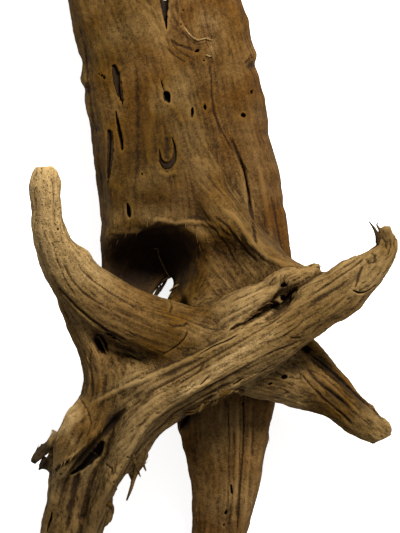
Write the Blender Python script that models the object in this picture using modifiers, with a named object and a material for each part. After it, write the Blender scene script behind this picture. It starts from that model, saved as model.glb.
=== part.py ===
# Driftwood for an aquarium: one grown piece of root wood, lying on its back.
# Metres, +Z up. Seen from straight above, the head of the trunk points to +Y.

import math

import bmesh
import bpy
import numpy as np
from mathutils import Vector
from mathutils.bvhtree import BVHTree

MM = 0.001

# Fineness of the solid
RING_SIDES = 36
RING_STEP = 3.0
UNION_VOXEL = 2.0 * MM
FACE_TARGET = 10600

# How the limbs run into each other
FILLET_REACH = 8.0 * MM
FILLET_ROUNDS = 24
SOFTEN_ROUNDS = 2

# The wood is worn flat where it stands: everything below this height is gone
REST_PLANE = 2.0 * MM

# The dry wood's colour and finish
WOOD_COLOUR = (0.215, 0.118, 0.045, 1.0)
WOOD_ROUGHNESS = 0.85

# Each limb is a list of stations along it, in millimetres: place (x, y, z), half width across
# the limb, half thickness towards the viewer. Squareness 2 is an oval section, and 3 or more a
# slab with round edges. Flutes are the shallow ribs round a limb: how many, how deep as a share
# of its size, and how far they wind round it for each millimetre.

TRUNK = {
    "trunk_wide": {
        "squareness": 2.7,
        "flutes": (7, 0.020, 0.002),
        "stations": [
            (-70.5, 199, 31, 16, 13),
            (-69.5, 195, 31, 19, 16),
            (-65, 180, 31, 24, 19),
            (-60.5, 160, 31, 27.5, 22),
            (-48.5, 130, 31, 32, 26),
            (-44.5, 115, 31, 36, 27),
            (-40, 100, 31, 36.3, 28),
            (-34, 70, 31, 38.8, 30),
            (-28.3, 44, 31, 41, 32),
            (-28, 22, 31, 40.8, 31),
            (-34, 4, 31, 37.5, 28),
            (-43, -16, 31, 28, 26),
            (-53, -36, 37, 18, 24),
            (-60, -58, 50, 15, 19),
            (-66, -78, 67, 12, 9),
        ],
    },
    "trunk_narrow": {
        "squareness": 2.5,
        "flutes": (6, 0.030, 0.003),
        "stations": [
            (-10, 190, 25, 14, 12),
            (-9.5, 186, 25, 16.5, 14),
            (-7, 160, 25, 24.6, 20),
            (-1, 130, 25, 25.6, 23),
            (5.5, 100, 25, 25, 24),
            (14, 70, 25, 22.3, 24),
            (22.5, 40, 25, 20.8, 24),
            (26.5, 10, 25, 21, 24),
            (25.5, -20, 26, 23.5, 24),
            (17, -50, 29, 28.5, 25),
            (8.5, -80, 32, 30.5, 24),
            (7, -94, 32, 29.5, 23),
            (7.5, -108.5, 30, 26.6, 21),
            (8.3, -123, 28, 22.8, 19),
            (7.4, -138, 25, 20.8, 17),
            (5.4, -152, 21, 18.6, 15),
            (4, -161, 18, 17.4, 14),
            (-1, -182, 13, 13, 12),
            (-6, -198, 9, 6, 7),
        ],
    },
    "head_bridge": {
        "squareness": 2.0,
        "flutes": (4, 0.03, 0.01),
        "stations": [
            (-30, 127, 21, 11.5, 15),
            (-31, 150, 21, 12, 15),
            (-32, 168, 20, 10.5, 13),
            (-33, 179, 19, 5, 7),
        ],
    },
    "hood": {
        "squareness": 2.0,
        "flutes": (5, 0.02, 0.01),
        "stations": [
            (-56, 46, 40, 19, 18),
            (-42, 48, 44, 22, 20),
            (-26, 51, 46, 23, 20),
            (-10, 51, 46, 21, 18),
            (2, 47, 44, 16, 16),
        ],
    },
    "flange": {
        "squareness": 2.0,
        "flutes": (5, 0.04, 0.02),
        "stations": [
            (-8, 50, 42, 12, 18),
            (2, 36, 48, 13, 22),
            (14, 22, 55, 12, 24),
            (27, 8, 63, 10, 24),
            (41, -1, 69, 8, 22),
            (54, -6, 72, 6.5, 18),
            (64, -15, 74, 6, 16),
        ],
    },
    "shoulder": {
        "squareness": 2.2,
        "flutes": (5, 0.03, 0.02),
        "stations": [
            (-6, 26, 34, 22, 24),
            (4, 8, 44, 30, 28),
            (14, -10, 56, 34, 30),
            (24, -28, 66, 34, 28),
            (30, -44, 72, 30, 24),
        ],
    },
}

CAVE = {
    "cave": {
        "squareness": 2.3,
        "flutes": (5, 0.03, 0.01),
        "stations": [
            (-92, -3, 100, 20, 62),
            (-66, -3.5, 100, 22, 65),
            (-51, -3, 100, 22.5, 80),
            (-42, -2, 100, 23.5, 83),
            (-34, 1, 100, 26, 84),
            (-26, 1, 100, 26.5, 78),
            (-19, 1, 100, 26.5, 62),
            (-12, 0, 100, 26.5, 46),
            (-4, 0, 100, 26.5, 38),
            (4, -1, 100, 27, 34),
            (15, -5, 102, 28, 28),
            (27, -10, 104, 26, 22),
            (38, -16, 106, 20, 14),
        ],
    },
    "through_hole": {
        "squareness": 2.0,
        "flutes": (4, 0.05, 0.01),
        "stations": [
            (-24, -5, 20, 1.5, 28),
            (-28, -12, 20, 4, 30),
            (-33, -22, 20, 5.5, 32),
            (-38, -32, 20, 6.5, 32),
            (-43, -42, 20, 4.5, 28),
        ],
    },
}

ROOTS = {
    "horn": {
        "squareness": 2.2,
        "flutes": (5, 0.025, 0.006),
        "stations": [
            (-99.5, 60, 110, 6, 7),
            (-99.5, 55, 110, 8.7, 9.5),
            (-98.8, 36.5, 109, 9.2, 11),
            (-97.3, 22, 106, 10.3, 12),
            (-92.4, 9, 101, 12.8, 13),
            (-82.6, -6.5, 95, 15.6, 15),
            (-66, -21, 91, 17.2, 17),
            (-44.5, -32.5, 89, 17.5, 19),
            (-22, -41, 86, 19, 20),
            (-2, -49, 82, 20, 21),
            (22, -58, 74, 20, 20),
            (42, -65, 65, 18.5, 18),
            (60, -72, 57, 15.8, 14),
            (76, -82.5, 50, 12.4, 11),
            (91, -94.6, 44, 10.4, 9),
            (100, -100.5, 42, 8.6, 7.5),
            (108.6, -103, 41, 5, 5.5),
        ],
    },
    "fin_rib": {
        "squareness": 2.0,
        "flutes": (3, 0.03, 0.02),
        "stations": [
            (48, -42, 62, 7, 12),
            (60, -50, 56, 5.5, 11),
            (72, -63, 50, 4.8, 9),
            (84, -77, 46, 4.4, 8),
            (96, -89, 43, 3.8, 7),
            (106, -99, 42, 3, 5),
        ],
    },
    "beak": {
        "squareness": 2.3,
        "flutes": (6, 0.03, 0.004),
        "stations": [
            (-93, -200, 10, 8, 7),
            (-90, -182, 17, 16, 11),
            (-86, -162, 28, 19, 13),
            (-82.3, -146, 36, 19.5, 14),
            (-79.5, -132, 44, 20, 15),
            (-71, -114, 54, 21.5, 15),
            (-56.5, -96.5, 64, 21.5, 17),
            (-35, -78.5, 76, 20.3, 19),
            (-8, -63, 84, 20, 21),
            (22, -47, 90, 19.6, 21),
            (52, -29.5, 94, 16.4, 17),
            (80, -12, 96, 14.4, 12),
            (96, 1, 97, 9.8, 9),
            (103.6, 12, 96, 6.5, 7),
            (103, 20, 96, 4.2, 5),
            (99.5, 24, 96, 1.8, 2.2),
        ],
    },
    "hook_spur": {
        "squareness": 2.0,
        "flutes": (3, 0.02, 0.02),
        "stations": [
            (103, 14, 97, 3, 3),
            (98, 20, 97, 1.8, 2),
            (94.5, 26.5, 96, 1.2, 1.4),
        ],
    },
    "knot": {
        "squareness": 2.2,
        "flutes": (5, 0.04, 0.02),
        "stations": [
            (-16, -38, 74, 9, 13),
            (-1, -35, 82, 12, 15),
            (16, -28, 89, 13.5, 15),
            (31, -21, 92, 12, 14),
            (45, -12, 90, 9, 12),
        ],
    },
    "leg_ridge": {
        "squareness": 2.0,
        "flutes": (5, 0.04, 0.02),
        "stations": [
            (34, -48, 96, 8, 14),
            (10, -58, 95, 9, 14),
            (-12, -69, 93, 9, 14),
            (-35, -84, 87, 9, 14),
            (-51, -106, 77, 8, 14),
            (-62, -128, 64, 6.5, 14),
            (-70.5, -148, 50, 6.5, 13),
            (-77, -166, 36, 7.5, 12),
            (-83, -184, 24, 8, 10),
        ],
    },
    "leg_rim": {
        "squareness": 2.0,
        "flutes": (5, 0.04, 0.02),
        "stations": [
            (-91, -116, 62, 5.5, 10),
            (-94, -134, 53, 5.5, 10),
            (-97.8, -152, 43, 5.2, 9),
            (-101.2, -172, 30, 5.2, 8),
            (-99, -190, 17, 5, 7),
        ],
    },
    "web": {
        "squareness": 2.2,
        "flutes": (5, 0.03, 0.01),
        "stations": [
            (-86, -10, 94, 11, 8),
            (-75.5, -31, 86, 13, 11),
            (-66.5, -48, 80, 14.5, 12),
            (-62, -64, 76, 16, 13),
            (-64, -82, 74, 16.5, 14),
            (-72, -100, 69, 19.5, 13),
        ],
    },
    "web_middle": {
        "squareness": 2.2,
        "flutes": (5, 0.03, 0.01),
        "stations": [
            (-72, -60, 74, 14, 12),
            (-52, -66, 78, 15, 15),
            (-30, -66, 82, 15, 18),
            (-6, -62, 84, 14, 18),
        ],
    },
    "flap": {
        "squareness": 2.2,
        "flutes": (5, 0.03, 0.02),
        "stations": [
            (-72, -82, 78, 10, 8),
            (-77.5, -95, 80, 13, 10),
            (-84, -110, 76, 12.5, 9),
            (-91, -125, 66, 7, 7),
        ],
    },
    "stub_upper": {
        "squareness": 2.3,
        "flutes": (5, 0.03, 0.02),
        "stations": [
            (-94, -99, 64, 4.4, 5),
            (-102.5, -110, 62, 3.6, 4.2),
            (-110, -119.5, 61, 2.6, 3),
        ],
    },
    "stub_lower": {
        "squareness": 2.3,
        "flutes": (5, 0.03, 0.02),
        "stations": [
            (-94, -111, 57, 3.8, 4),
            (-101, -119, 56, 3, 3.4),
            (-106, -124, 55, 2.2, 2.6),
        ],
    },
    "rootlet": {
        "squareness": 2.0,
        "flutes": (5, 0.03, 0.02),
        "stations": [
            (-38, -96, 72, 6.5, 7),
            (-41.5, -109, 67, 5.2, 6),
            (-45.5, -119, 63, 4, 4.5),
            (-48.8, -130, 61, 2, 2.6),
            (-52, -140, 60, 1.3, 1.8),
        ],
    },
    "leg_spur": {
        "squareness": 2.0,
        "flutes": (3, 0.02, 0.02),
        "stations": [
            (-68, -156, 38, 6, 8),
            (-62, -150, 38, 3.5, 6),
            (-60.5, -145, 38, 1.5, 3),
        ],
    },
}

GROOVES = {
    "head_split": {
        "squareness": 2.0,
        "flutes": (3, 0.02, 0.02),
        "stations": [
            (-27.5, 141, 62, 1, 24),
            (-29, 150, 56, 1.8, 30),
            (-30.5, 163, 60, 3, 30),
            (-32, 176, 49, 5, 42),
            (-34, 192, 40, 9, 48),
        ],
    },
    "leg_gutter": {
        "squareness": 2.0,
        "flutes": (3, 0.03, 0.02),
        "stations": [
            (-55, -86, 98, 3, 12),
            (-62, -99, 90, 4, 14),
            (-70, -111, 84, 5, 20),
            (-79, -125, 72, 7, 18),
            (-84, -142, 60, 8, 15),
            (-88, -160, 48, 8, 13),
            (-91, -180, 32, 6, 9),
        ],
    },
    "web_hole": {
        "squareness": 2.0,
        "flutes": (3, 0.03, 0.02),
        "stations": [
            (-70, -38, 100, 0.8, 14),
            (-67.5, -44, 98, 3, 20),
            (-65, -50, 97, 3.4, 22),
            (-62.5, -56, 96, 0.8, 14),
        ],
    },
    "crossing_crack": {
        "squareness": 2.0,
        "flutes": (3, 0.04, 0.02),
        "stations": [
            (-4, -46, 108, 0.8, 5),
            (14, -37, 108, 1.8, 8),
            (28, -31, 108, 4, 12),
            (38, -24, 104, 5, 17),
            (45, -14, 98, 4, 18),
            (46, -7, 96, 1, 12),
        ],
    },
    "fin_groove": {
        "squareness": 2.0,
        "flutes": (3, 0.02, 0.02),
        "stations": [
            (50, -45, 70, 2, 14),
            (60, -54, 64, 2.6, 12),
            (72, -65, 58, 2.8, 11),
            (84, -77, 52, 2.4, 8),
            (94, -87, 49, 1.6, 5),
        ],
    },
}


def clear_scene():
    for obj in list(bpy.data.objects):
        bpy.data.objects.remove(obj, do_unlink=True)


def new_collection(name):
    collection = bpy.data.collections.new(name)
    bpy.context.scene.collection.children.link(collection)
    return collection


def read_between(stations, step):
    """The stations' numbers at about every step millimetres, on a smooth curve through them."""
    rows = np.array(stations, float)
    chords = np.linalg.norm(np.diff(rows[:, :3], axis=0), axis=1)
    along = np.concatenate([[0.0], np.cumsum(chords)])
    slopes = np.gradient(rows, along, axis=0)
    count = max(2, int(round(along[-1] / step)) + 1)
    wanted = np.linspace(0, along[-1], count)
    span = np.clip(np.searchsorted(along, wanted, side="right") - 1, 0, len(along) - 2)
    width = chords[span][:, None]
    t = ((wanted - along[span]) / chords[span])[:, None]
    read = (
        (2 * t**3 - 3 * t**2 + 1) * rows[span]
        + (t**3 - 2 * t**2 + t) * width * slopes[span]
        + (3 * t**2 - 2 * t**3) * rows[span + 1]
        + (t**3 - t**2) * width * slopes[span + 1]
    )
    return read, wanted


def section(limb, half_width, half_thickness, along):
    """Points round a limb's section, as offsets across it and towards the viewer."""
    power = 2 / limb["squareness"]
    count, depth, wind = limb["flutes"]
    angles = np.arange(RING_SIDES) * 2 * math.pi / RING_SIDES
    swell = 1 + depth * np.sin(count * (angles + wind * along))
    across = np.sign(np.cos(angles)) * np.abs(np.cos(angles)) ** power * half_width * swell
    towards = np.sign(np.sin(angles)) * np.abs(np.sin(angles)) ** power * half_thickness * swell
    return np.column_stack([across, towards])


def loft(name, limb, collection):
    """A closed body whose section changes along its stations."""
    rows, along = read_between(limb["stations"], RING_STEP)
    tangents = np.gradient(rows[:, :3], axis=0)
    tangents /= np.linalg.norm(tangents, axis=1)[:, None]
    sides = np.cross(tangents, (0, 0, 1))
    sides /= np.linalg.norm(sides, axis=1)[:, None]
    ups = np.cross(sides, tangents)
    mesh = bmesh.new()
    rings = []
    for row, side, up, distance in zip(rows, sides, ups, along):
        points = section(limb, row[3], row[4], distance)
        places = row[:3] + points[:, :1] * side + points[:, 1:] * up
        rings.append([mesh.verts.new(Vector(place) * MM) for place in places])
    for ring, following in zip(rings, rings[1:]):
        for k in range(RING_SIDES):
            after = (k + 1) % RING_SIDES
            mesh.faces.new((ring[k], ring[after], following[after], following[k]))
    mesh.faces.new(reversed(rings[0]))
    mesh.faces.new(rings[-1])
    bmesh.ops.recalc_face_normals(mesh, faces=mesh.faces)
    data = bpy.data.meshes.new(name)
    mesh.to_mesh(data)
    mesh.free()
    obj = bpy.data.objects.new(name, data)
    collection.objects.link(obj)
    return obj


def lofts(limbs, collection):
    return [loft(name, limb, collection) for name, limb in limbs.items()]


def applied(obj):
    """Makes the object's evaluated mesh its own and drops its modifiers."""
    graph = bpy.context.evaluated_depsgraph_get()
    graph.update()
    data = bpy.data.meshes.new_from_object(obj.evaluated_get(graph))
    obj.modifiers.clear()
    obj.data = data
    return obj


def recast(obj):
    """Makes the solid again from small cubes, so that parts merge and no sliver is left."""
    remesh = obj.modifiers.new("recast", "REMESH")
    remesh.mode = "VOXEL"
    remesh.voxel_size = UNION_VOXEL
    return applied(obj)


def joined(name, parts, collection):
    """The solid union of the parts."""
    mesh = bmesh.new()
    for part in parts:
        mesh.from_mesh(part.data)
    data = bpy.data.meshes.new(name)
    mesh.to_mesh(data)
    mesh.free()
    obj = bpy.data.objects.new(name, data)
    collection.objects.link(obj)
    return recast(obj)


def cut_away(obj, cutters):
    for cutter in cutters:
        cut = obj.modifiers.new(cutter.name, "BOOLEAN")
        cut.operation = "DIFFERENCE"
        cut.solver = "EXACT"
        cut.object = cutter
    return applied(obj)


def soften(wood, limbs):
    """Rounds the creases where limbs meet or are cut into, and only eases the rest."""
    graph = bpy.context.evaluated_depsgraph_get()
    trees = [BVHTree.FromObject(limb, graph) for limb in limbs]
    creases = wood.vertex_groups.new(name="creases")
    for vertex in wood.data.vertices:
        hits = [tree.find_nearest(vertex.co, FILLET_REACH) for tree in trees]
        near = sorted(hit[3] for hit in hits if hit[3] is not None)
        if len(near) > 1:
            share = 1 - near[1] / FILLET_REACH
            creases.add([vertex.index], share * share * (3 - 2 * share), "REPLACE")
    fillets = wood.modifiers.new("fillets", "SMOOTH")
    fillets.vertex_group = creases.name
    fillets.factor = 0.5
    fillets.iterations = FILLET_ROUNDS
    easing = wood.modifiers.new("easing", "SMOOTH")
    easing.factor = 0.5
    easing.iterations = SOFTEN_ROUNDS
    return applied(wood)


def thin_out(wood):
    """Keeps as many faces as the shape needs."""
    wood.data.update()
    faces = sum(len(polygon.vertices) - 2 for polygon in wood.data.polygons)
    decimate = wood.modifiers.new("thin out", "DECIMATE")
    decimate.ratio = FACE_TARGET / faces
    decimate.use_collapse_triangulate = True
    return applied(wood)


def wear_flat(wood, helpers):
    """Takes off what lies below the rest plane, which leaves the flat spots that it stands on."""
    reach = 1.0
    bpy.ops.mesh.primitive_cube_add(size=reach, location=(0, 0, REST_PLANE - reach / 2))
    ground = bpy.context.object
    ground.name = "ground"
    for collection in list(ground.users_collection):
        collection.objects.unlink(ground)
    helpers.objects.link(ground)
    cut_away(wood, [ground])


def centre(wood, helpers):
    """Puts the origin under the middle of the piece, on the plane that it rests on."""
    places = np.array([vertex.co for vertex in wood.data.vertices])
    low, high = places.min(axis=0), places.max(axis=0)
    middle = Vector(((low[0] + high[0]) / 2, (low[1] + high[1]) / 2, low[2]))
    for vertex in wood.data.vertices:
        vertex.co = vertex.co - middle
    for helper in helpers:
        helper.location = helper.location - middle


def wood_material():
    material = bpy.data.materials.new("driftwood_wood")
    material.use_nodes = True
    shader = material.node_tree.nodes["Principled BSDF"]
    shader.inputs["Base Color"].default_value = WOOD_COLOUR
    shader.inputs["Roughness"].default_value = WOOD_ROUGHNESS
    shader.inputs["Metallic"].default_value = 0.0
    return material


def build():
    clear_scene()
    piece = new_collection("driftwood")
    helpers = new_collection("limbs and cutters")
    trunk_limbs = lofts(TRUNK, helpers)
    cave_cutters = lofts(CAVE, helpers)
    root_limbs = lofts(ROOTS, helpers)
    grooves = lofts(GROOVES, helpers)

    trunk = joined("trunk", trunk_limbs, helpers)
    cut_away(trunk, cave_cutters)
    wood = joined("driftwood", [trunk] + root_limbs, piece)
    cut_away(wood, grooves)
    recast(wood)
    soften(wood, trunk_limbs + cave_cutters + root_limbs + grooves)
    thin_out(wood)
    wear_flat(wood, helpers)
    centre(wood, helpers.objects)

    wood.data.materials.clear()
    wood.data.materials.append(wood_material())
    wood.data.shade_smooth()
    for helper in helpers.objects:
        helper.hide_render = True
        helper.display_type = "WIRE"


build()
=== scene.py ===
import math

import bmesh
import bpy
import numpy as np
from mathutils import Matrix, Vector
from mathutils.bvhtree import BVHTree


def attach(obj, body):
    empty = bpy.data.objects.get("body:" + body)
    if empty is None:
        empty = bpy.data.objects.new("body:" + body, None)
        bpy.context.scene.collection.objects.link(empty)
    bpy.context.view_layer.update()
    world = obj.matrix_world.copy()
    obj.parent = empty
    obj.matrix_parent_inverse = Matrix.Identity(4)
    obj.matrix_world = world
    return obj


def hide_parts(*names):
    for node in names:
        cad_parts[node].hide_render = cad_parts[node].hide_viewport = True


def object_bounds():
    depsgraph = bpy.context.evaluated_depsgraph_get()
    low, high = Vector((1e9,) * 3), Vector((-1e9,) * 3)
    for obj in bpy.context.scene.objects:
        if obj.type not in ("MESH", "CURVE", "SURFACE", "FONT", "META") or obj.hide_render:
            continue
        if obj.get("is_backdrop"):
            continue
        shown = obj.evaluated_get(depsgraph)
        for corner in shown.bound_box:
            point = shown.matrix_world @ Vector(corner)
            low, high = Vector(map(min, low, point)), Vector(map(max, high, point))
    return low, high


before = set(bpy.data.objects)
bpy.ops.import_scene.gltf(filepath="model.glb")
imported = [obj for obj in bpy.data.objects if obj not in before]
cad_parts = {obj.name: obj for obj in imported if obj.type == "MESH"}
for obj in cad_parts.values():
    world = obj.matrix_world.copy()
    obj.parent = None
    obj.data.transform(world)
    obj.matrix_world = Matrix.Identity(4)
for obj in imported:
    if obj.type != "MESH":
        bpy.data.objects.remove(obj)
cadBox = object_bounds()

# Lengths are in millimetres until a mesh is written. Places on the visible side are given in
# the photograph's pixels, from its top left corner.
photo = {
    "width": 400,
    "height": 533,
    "mmPerPixel": 0.6,       # at the middle height of the wood
    "middleHeight": 68.0,
    "cameraHeight": 2498.0,
    "aim": (-7.37, -0.33),
}

# The grown directions: each limb's middle line (x, y, z, radius) and how its wood looks
limbShift = (0.43, -0.03, -2.0)
limbs = {
    "wideStem": {
        "line": [(-72, 215, 31, 16), (-69.5, 195, 31, 18), (-65, 180, 31, 22), (-60.5, 160, 31, 25),
                 (-48.5, 130, 31, 29), (-44.5, 115, 31, 31), (-40, 100, 31, 32), (-34, 70, 31, 34),
                 (-28.3, 44, 31, 36), (-28, 22, 31, 35), (-34, 4, 31, 32), (-43, -16, 31, 27),
                 (-53, -36, 37, 21), (-60, -58, 50, 17), (-66, -78, 67, 10)],
        "ridge": 0.50, "fibre": 0.50, "check": 0.12, "bleachAndHighlight": 0.05, "red": 0.15,
    },
    "narrowStem": {
        "line": [(-11, 205, 25, 12), (-9.5, 186, 25, 15), (-7, 160, 25, 22), (-1, 130, 25, 24),
                 (5.5, 100, 25, 24.5), (14, 70, 25, 23), (22.5, 40, 25, 22.5), (26.5, 10, 25, 22.5),
                 (25.5, -20, 26, 23.5), (17, -50, 29, 26.5), (8.5, -80, 32, 27), (7, -94, 32, 26),
                 (7.5, -108.5, 30, 23.5), (8.3, -123, 28, 20.5), (7.4, -138, 25, 19),
                 (5.4, -152, 21, 16.5), (4, -161, 18, 15.5), (-1, -182, 13, 12.5), (-6, -198, 9, 6.5)],
        "ridge": 0.50, "fibre": 0.50, "check": 0.14, "bleachAndHighlight": 0.08, "red": 0.80,
    },
    "horn": {
        "line": [(-99.5, 66, 110, 6), (-99.5, 55, 110, 9), (-98.8, 36.5, 109, 10), (-97.3, 22, 106, 11),
                 (-92, 9, 101, 12.8), (-82.2, -6.5, 95, 15.3), (-65.5, -21, 91, 17), (-44.5, -32.5, 89, 18),
                 (-22, -41, 86, 19.5), (-2, -49, 82, 20.5), (22, -58, 74, 20), (42, -65, 65, 18),
                 (60, -72.5, 57, 15), (75, -83, 50, 12), (90.5, -94.8, 44, 9.5), (100, -101, 42, 8),
                 (110, -105, 41, 5)],
        "ridge": 0.50, "fibre": 0.85, "check": 0.40, "bleachAndHighlight": 0.36, "red": 0.20,
    },
    "beak": {
        "line": [(-93, -204, 8, 7), (-90, -182, 17, 13), (-86, -162, 28, 16), (-82.3, -146, 36, 17),
                 (-79.5, -132, 44, 17.5), (-71, -114, 54, 18), (-56.5, -96.5, 64, 19), (-35, -78.5, 76, 19.6),
                 (-8, -63, 84, 20.5), (22, -47, 90, 20), (52, -29.5, 94, 16.7), (80, -12, 96, 13),
                 (96, 1, 97, 9.4), (103.6, 12, 96, 6.7), (103, 22, 96, 3)],
        "ridge": 0.80, "fibre": 0.90, "check": 0.55, "bleachAndHighlight": 0.42, "red": 0.15,
    },
    "flank": {
        "line": [(-18, 58, 42, 15), (-4, 42, 46, 18), (8, 26, 52, 20), (20, 8, 60, 21), (32, -6, 68, 19),
                 (46, -18, 75, 15), (60, -26, 80, 12)],
        "ridge": 0.50, "fibre": 0.75, "check": 0.30, "bleachAndHighlight": 0.16, "red": 0.30,
    },
    "web": {
        "line": [(-92, 2, 94, 8), (-86, -10, 94, 9.5), (-75, -31, 86, 12), (-66.5, -48, 80, 13.5),
                 (-62, -64, 76, 14.5), (-64, -82, 74, 15.5), (-72, -100, 69, 16)],
        "ridge": 0.70, "fibre": 0.90, "check": 0.35, "bleachAndHighlight": 0.14, "red": 0.30,
    },
}

# The wood's skin
skin = {
    "voxel": 0.85,           # fineness of the surface before it is thinned
    "facetRounds": 5,        # takes the solid's facets off
    "triangles": 197000,
    "restFade": (0.3, 4.0),  # heights over which the relief fades in above the resting surface
    "underShare": 0.85,      # how much more the thinning takes from the underside
    "underFade": (-0.15, 0.25),    # upward parts of a normal between the underside and the top
    "thinSteps": 10,
    "thinWeight": 0.6,
    "limbStep": 2.0,         # between places on a limb's middle line
    "limbsApart": 400,       # between the grain coordinates of two limbs
    "limbSoftness": 0.15,    # how softly one limb's looks pass into the next one's, in radii
    "grainBlend": 0.22,      # and its grain
}


def log(words):
    print("driftwood:", words)


def pixelSize(height):
    # millimetres in a pixel of the photograph at this height
    below = photo["cameraHeight"] - height
    return photo["mmPerPixel"] * below / (photo["cameraHeight"] - photo["middleHeight"])


def pixelOf(points):
    # photograph pixel of each point
    scale = pixelSize(points[:, 2])
    across = photo["width"] / 2 + (points[:, 0] - photo["aim"][0]) / scale
    down = photo["height"] / 2 - (points[:, 1] - photo["aim"][1]) / scale
    return np.column_stack([across, down])


def placeAt(pixel, height):
    # place at this height that shows at the pixel
    scale = pixelSize(height)
    x = photo["aim"][0] + (pixel[0] - photo["width"] / 2) * scale
    y = photo["aim"][1] - (pixel[1] - photo["height"] / 2) * scale
    return np.array([x, y, height])


def curveThrough(rows, step):
    # rows of numbers on a smooth curve through the given rows, the first three a place
    rows = np.array(rows, float)
    chords = np.linalg.norm(np.diff(rows[:, :3], axis=0), axis=1)
    along = np.concatenate([[0.0], np.cumsum(chords)])
    slopes = np.gradient(rows, along, axis=0)
    wanted = np.linspace(0, along[-1], max(3, int(round(along[-1] / step)) + 1))
    span = np.clip(np.searchsorted(along, wanted, side="right") - 1, 0, len(chords) - 1)
    width = chords[span][:, None]
    t = ((wanted - along[span]) / chords[span])[:, None]
    read = (2 * t**3 - 3 * t**2 + 1) * rows[span] + (t**3 - 2 * t**2 + t) * width * slopes[span]
    read += (3 * t**2 - 2 * t**3) * rows[span + 1] + (t**3 - t**2) * width * slopes[span + 1]
    return read, wanted


def unit(vectors):
    return vectors / np.maximum(np.linalg.norm(vectors, axis=-1, keepdims=True), 1e-9)


def limbFrames():
    # places along each limb's middle line, with the ways forward, to the side and up
    frames = []
    for limb in limbs.values():
        rows, along = curveThrough(limb["line"], skin["limbStep"])
        middle = rows[:, :3] + np.array(limbShift)
        forward = unit(np.gradient(middle, axis=0))
        side = np.zeros_like(forward)
        last = np.cross(forward[0], (0, 0, 1.0))
        for k in range(len(forward)):
            last = last - forward[k] * np.dot(last, forward[k])
            last = last / np.linalg.norm(last)
            side[k] = last
        frames.append({"middle": middle, "radius": rows[:, 3], "along": along, "forward": forward,
                       "side": side, "up": np.cross(side, forward)})
    return frames


def grainOf(points, frames):
    # for each point and limb: how far out it is in radii, its grain coordinates, the grain's way
    count = len(points)
    reach = np.zeros((count, len(frames)))
    coordinates = np.zeros((count, len(frames), 3))
    ways = np.zeros((count, len(frames), 3))
    blockSize = 20000        # points at a time, which keeps the memory small
    for number, limb in enumerate(frames):
        nearest = np.zeros(count, int)
        middle = limb["middle"]
        size = (middle**2).sum(axis=1)
        for start in range(0, count, blockSize):
            block = points[start:start + blockSize]
            nearest[start:start + blockSize] = (size - 2 * block @ middle.T).argmin(axis=1)
        offset = points - middle[nearest]
        forward = limb["forward"][nearest]
        along = limb["along"][nearest] + (offset * forward).sum(axis=1)
        coordinates[:, number, 0] = (offset * limb["side"][nearest]).sum(axis=1)
        coordinates[:, number, 1] = (offset * limb["up"][nearest]).sum(axis=1)
        coordinates[:, number, 2] = along + skin["limbsApart"] * number
        reach[:, number] = np.linalg.norm(offset, axis=1) / limb["radius"][nearest]
        ways[:, number] = forward
    return reach, coordinates, ways


def limbShare(reach):
    # how much each limb has to say about each point
    share = np.exp(-(reach - reach.min(axis=1, keepdims=True)) / skin["limbSoftness"])
    return share / share.sum(axis=1, keepdims=True)


def limbValue(share, name):
    return share @ np.array([limb[name] for limb in limbs.values()])


# Mesh help

def newObject(name, data):
    made = bpy.data.objects.new(name, data)
    bpy.context.scene.collection.objects.link(made)
    return made


def readRows(collection, name, width=3, kind=np.float32):
    flat = np.empty(len(collection) * width, kind)
    collection.foreach_get(name, flat)
    return flat.reshape(-1, width)


def placesOf(obj):
    return readRows(obj.data.vertices, "co").astype(float) * 1000


def putPlaces(obj, places):
    obj.data.vertices.foreach_set("co", (places / 1000).astype(np.float32).ravel())
    obj.data.update()


def normalsOf(obj):
    return readRows(obj.data.vertex_normals, "vector").astype(float)


def edgesOf(obj):
    return readRows(obj.data.edges, "vertices", 2, np.int32)


def currentGraph():
    graph = bpy.context.evaluated_depsgraph_get()
    graph.update()
    return graph


def baked(obj):
    # the evaluated mesh becomes the object's own, and its modifiers go
    old = obj.data
    data = bpy.data.meshes.new_from_object(obj.evaluated_get(currentGraph()))
    obj.modifiers.clear()
    obj.data = data
    if old.users == 0:
        bpy.data.meshes.remove(old)
    return obj


def smoothed(values, edges, rounds, factor=0.6):
    count = len(values)
    near = np.bincount(edges.ravel(), minlength=count).astype(float)
    near = np.maximum(near, 1)[:, None]
    first, second = edges[:, 0], edges[:, 1]
    for _ in range(rounds):
        total = np.empty_like(values)
        for axis in range(values.shape[1]):
            total[:, axis] = np.bincount(first, values[second, axis], count)
            total[:, axis] += np.bincount(second, values[first, axis], count)
        values = values + factor * (total / near - values)
    return values


def addAttribute(obj, name, values, domain="POINT"):
    kind, field = ("FLOAT_VECTOR", "vector") if values.ndim == 2 else ("FLOAT", "value")
    layer = obj.data.attributes.new(name, kind, domain)
    layer.data.foreach_set(field, values.astype(np.float32).ravel())


def ramp(values, low, high):
    # smooth from 0 at low to 1 at high, which may be the smaller of the two
    t = np.clip((values - low) / (high - low), 0, 1)
    return t * t * (3 - 2 * t)


# The top surface, as the camera sees it

margin = 30   # pixels kept round the photograph's frame


def topMap(points):
    # highest point of the wood behind each pixel
    grid = np.full((photo["height"] + 2 * margin, photo["width"] + 2 * margin), -50.0)
    cells = np.floor(pixelOf(points)).astype(int) + margin
    inside = ((cells >= 0) & (cells < grid.shape[::-1])).all(axis=1)
    np.maximum.at(grid, (cells[inside, 1], cells[inside, 0]), points[inside, 2])
    return grid


def topHeight(grid, pixel, around=1):
    column, row = (int(round(v - 0.5)) + margin for v in pixel)
    rows = slice(max(row - around, 0), row + around + 1)
    columns = slice(max(column - around, 0), column + around + 1)
    return grid[rows, columns].max()


def seenFromAbove(grid, points, slack=4.0):
    cells = np.floor(pixelOf(points)).astype(int) + margin
    cells = np.clip(cells, 0, np.array(grid.shape[::-1]) - 1)
    return points[:, 2] > grid[cells[:, 1], cells[:, 0]] - slack


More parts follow.
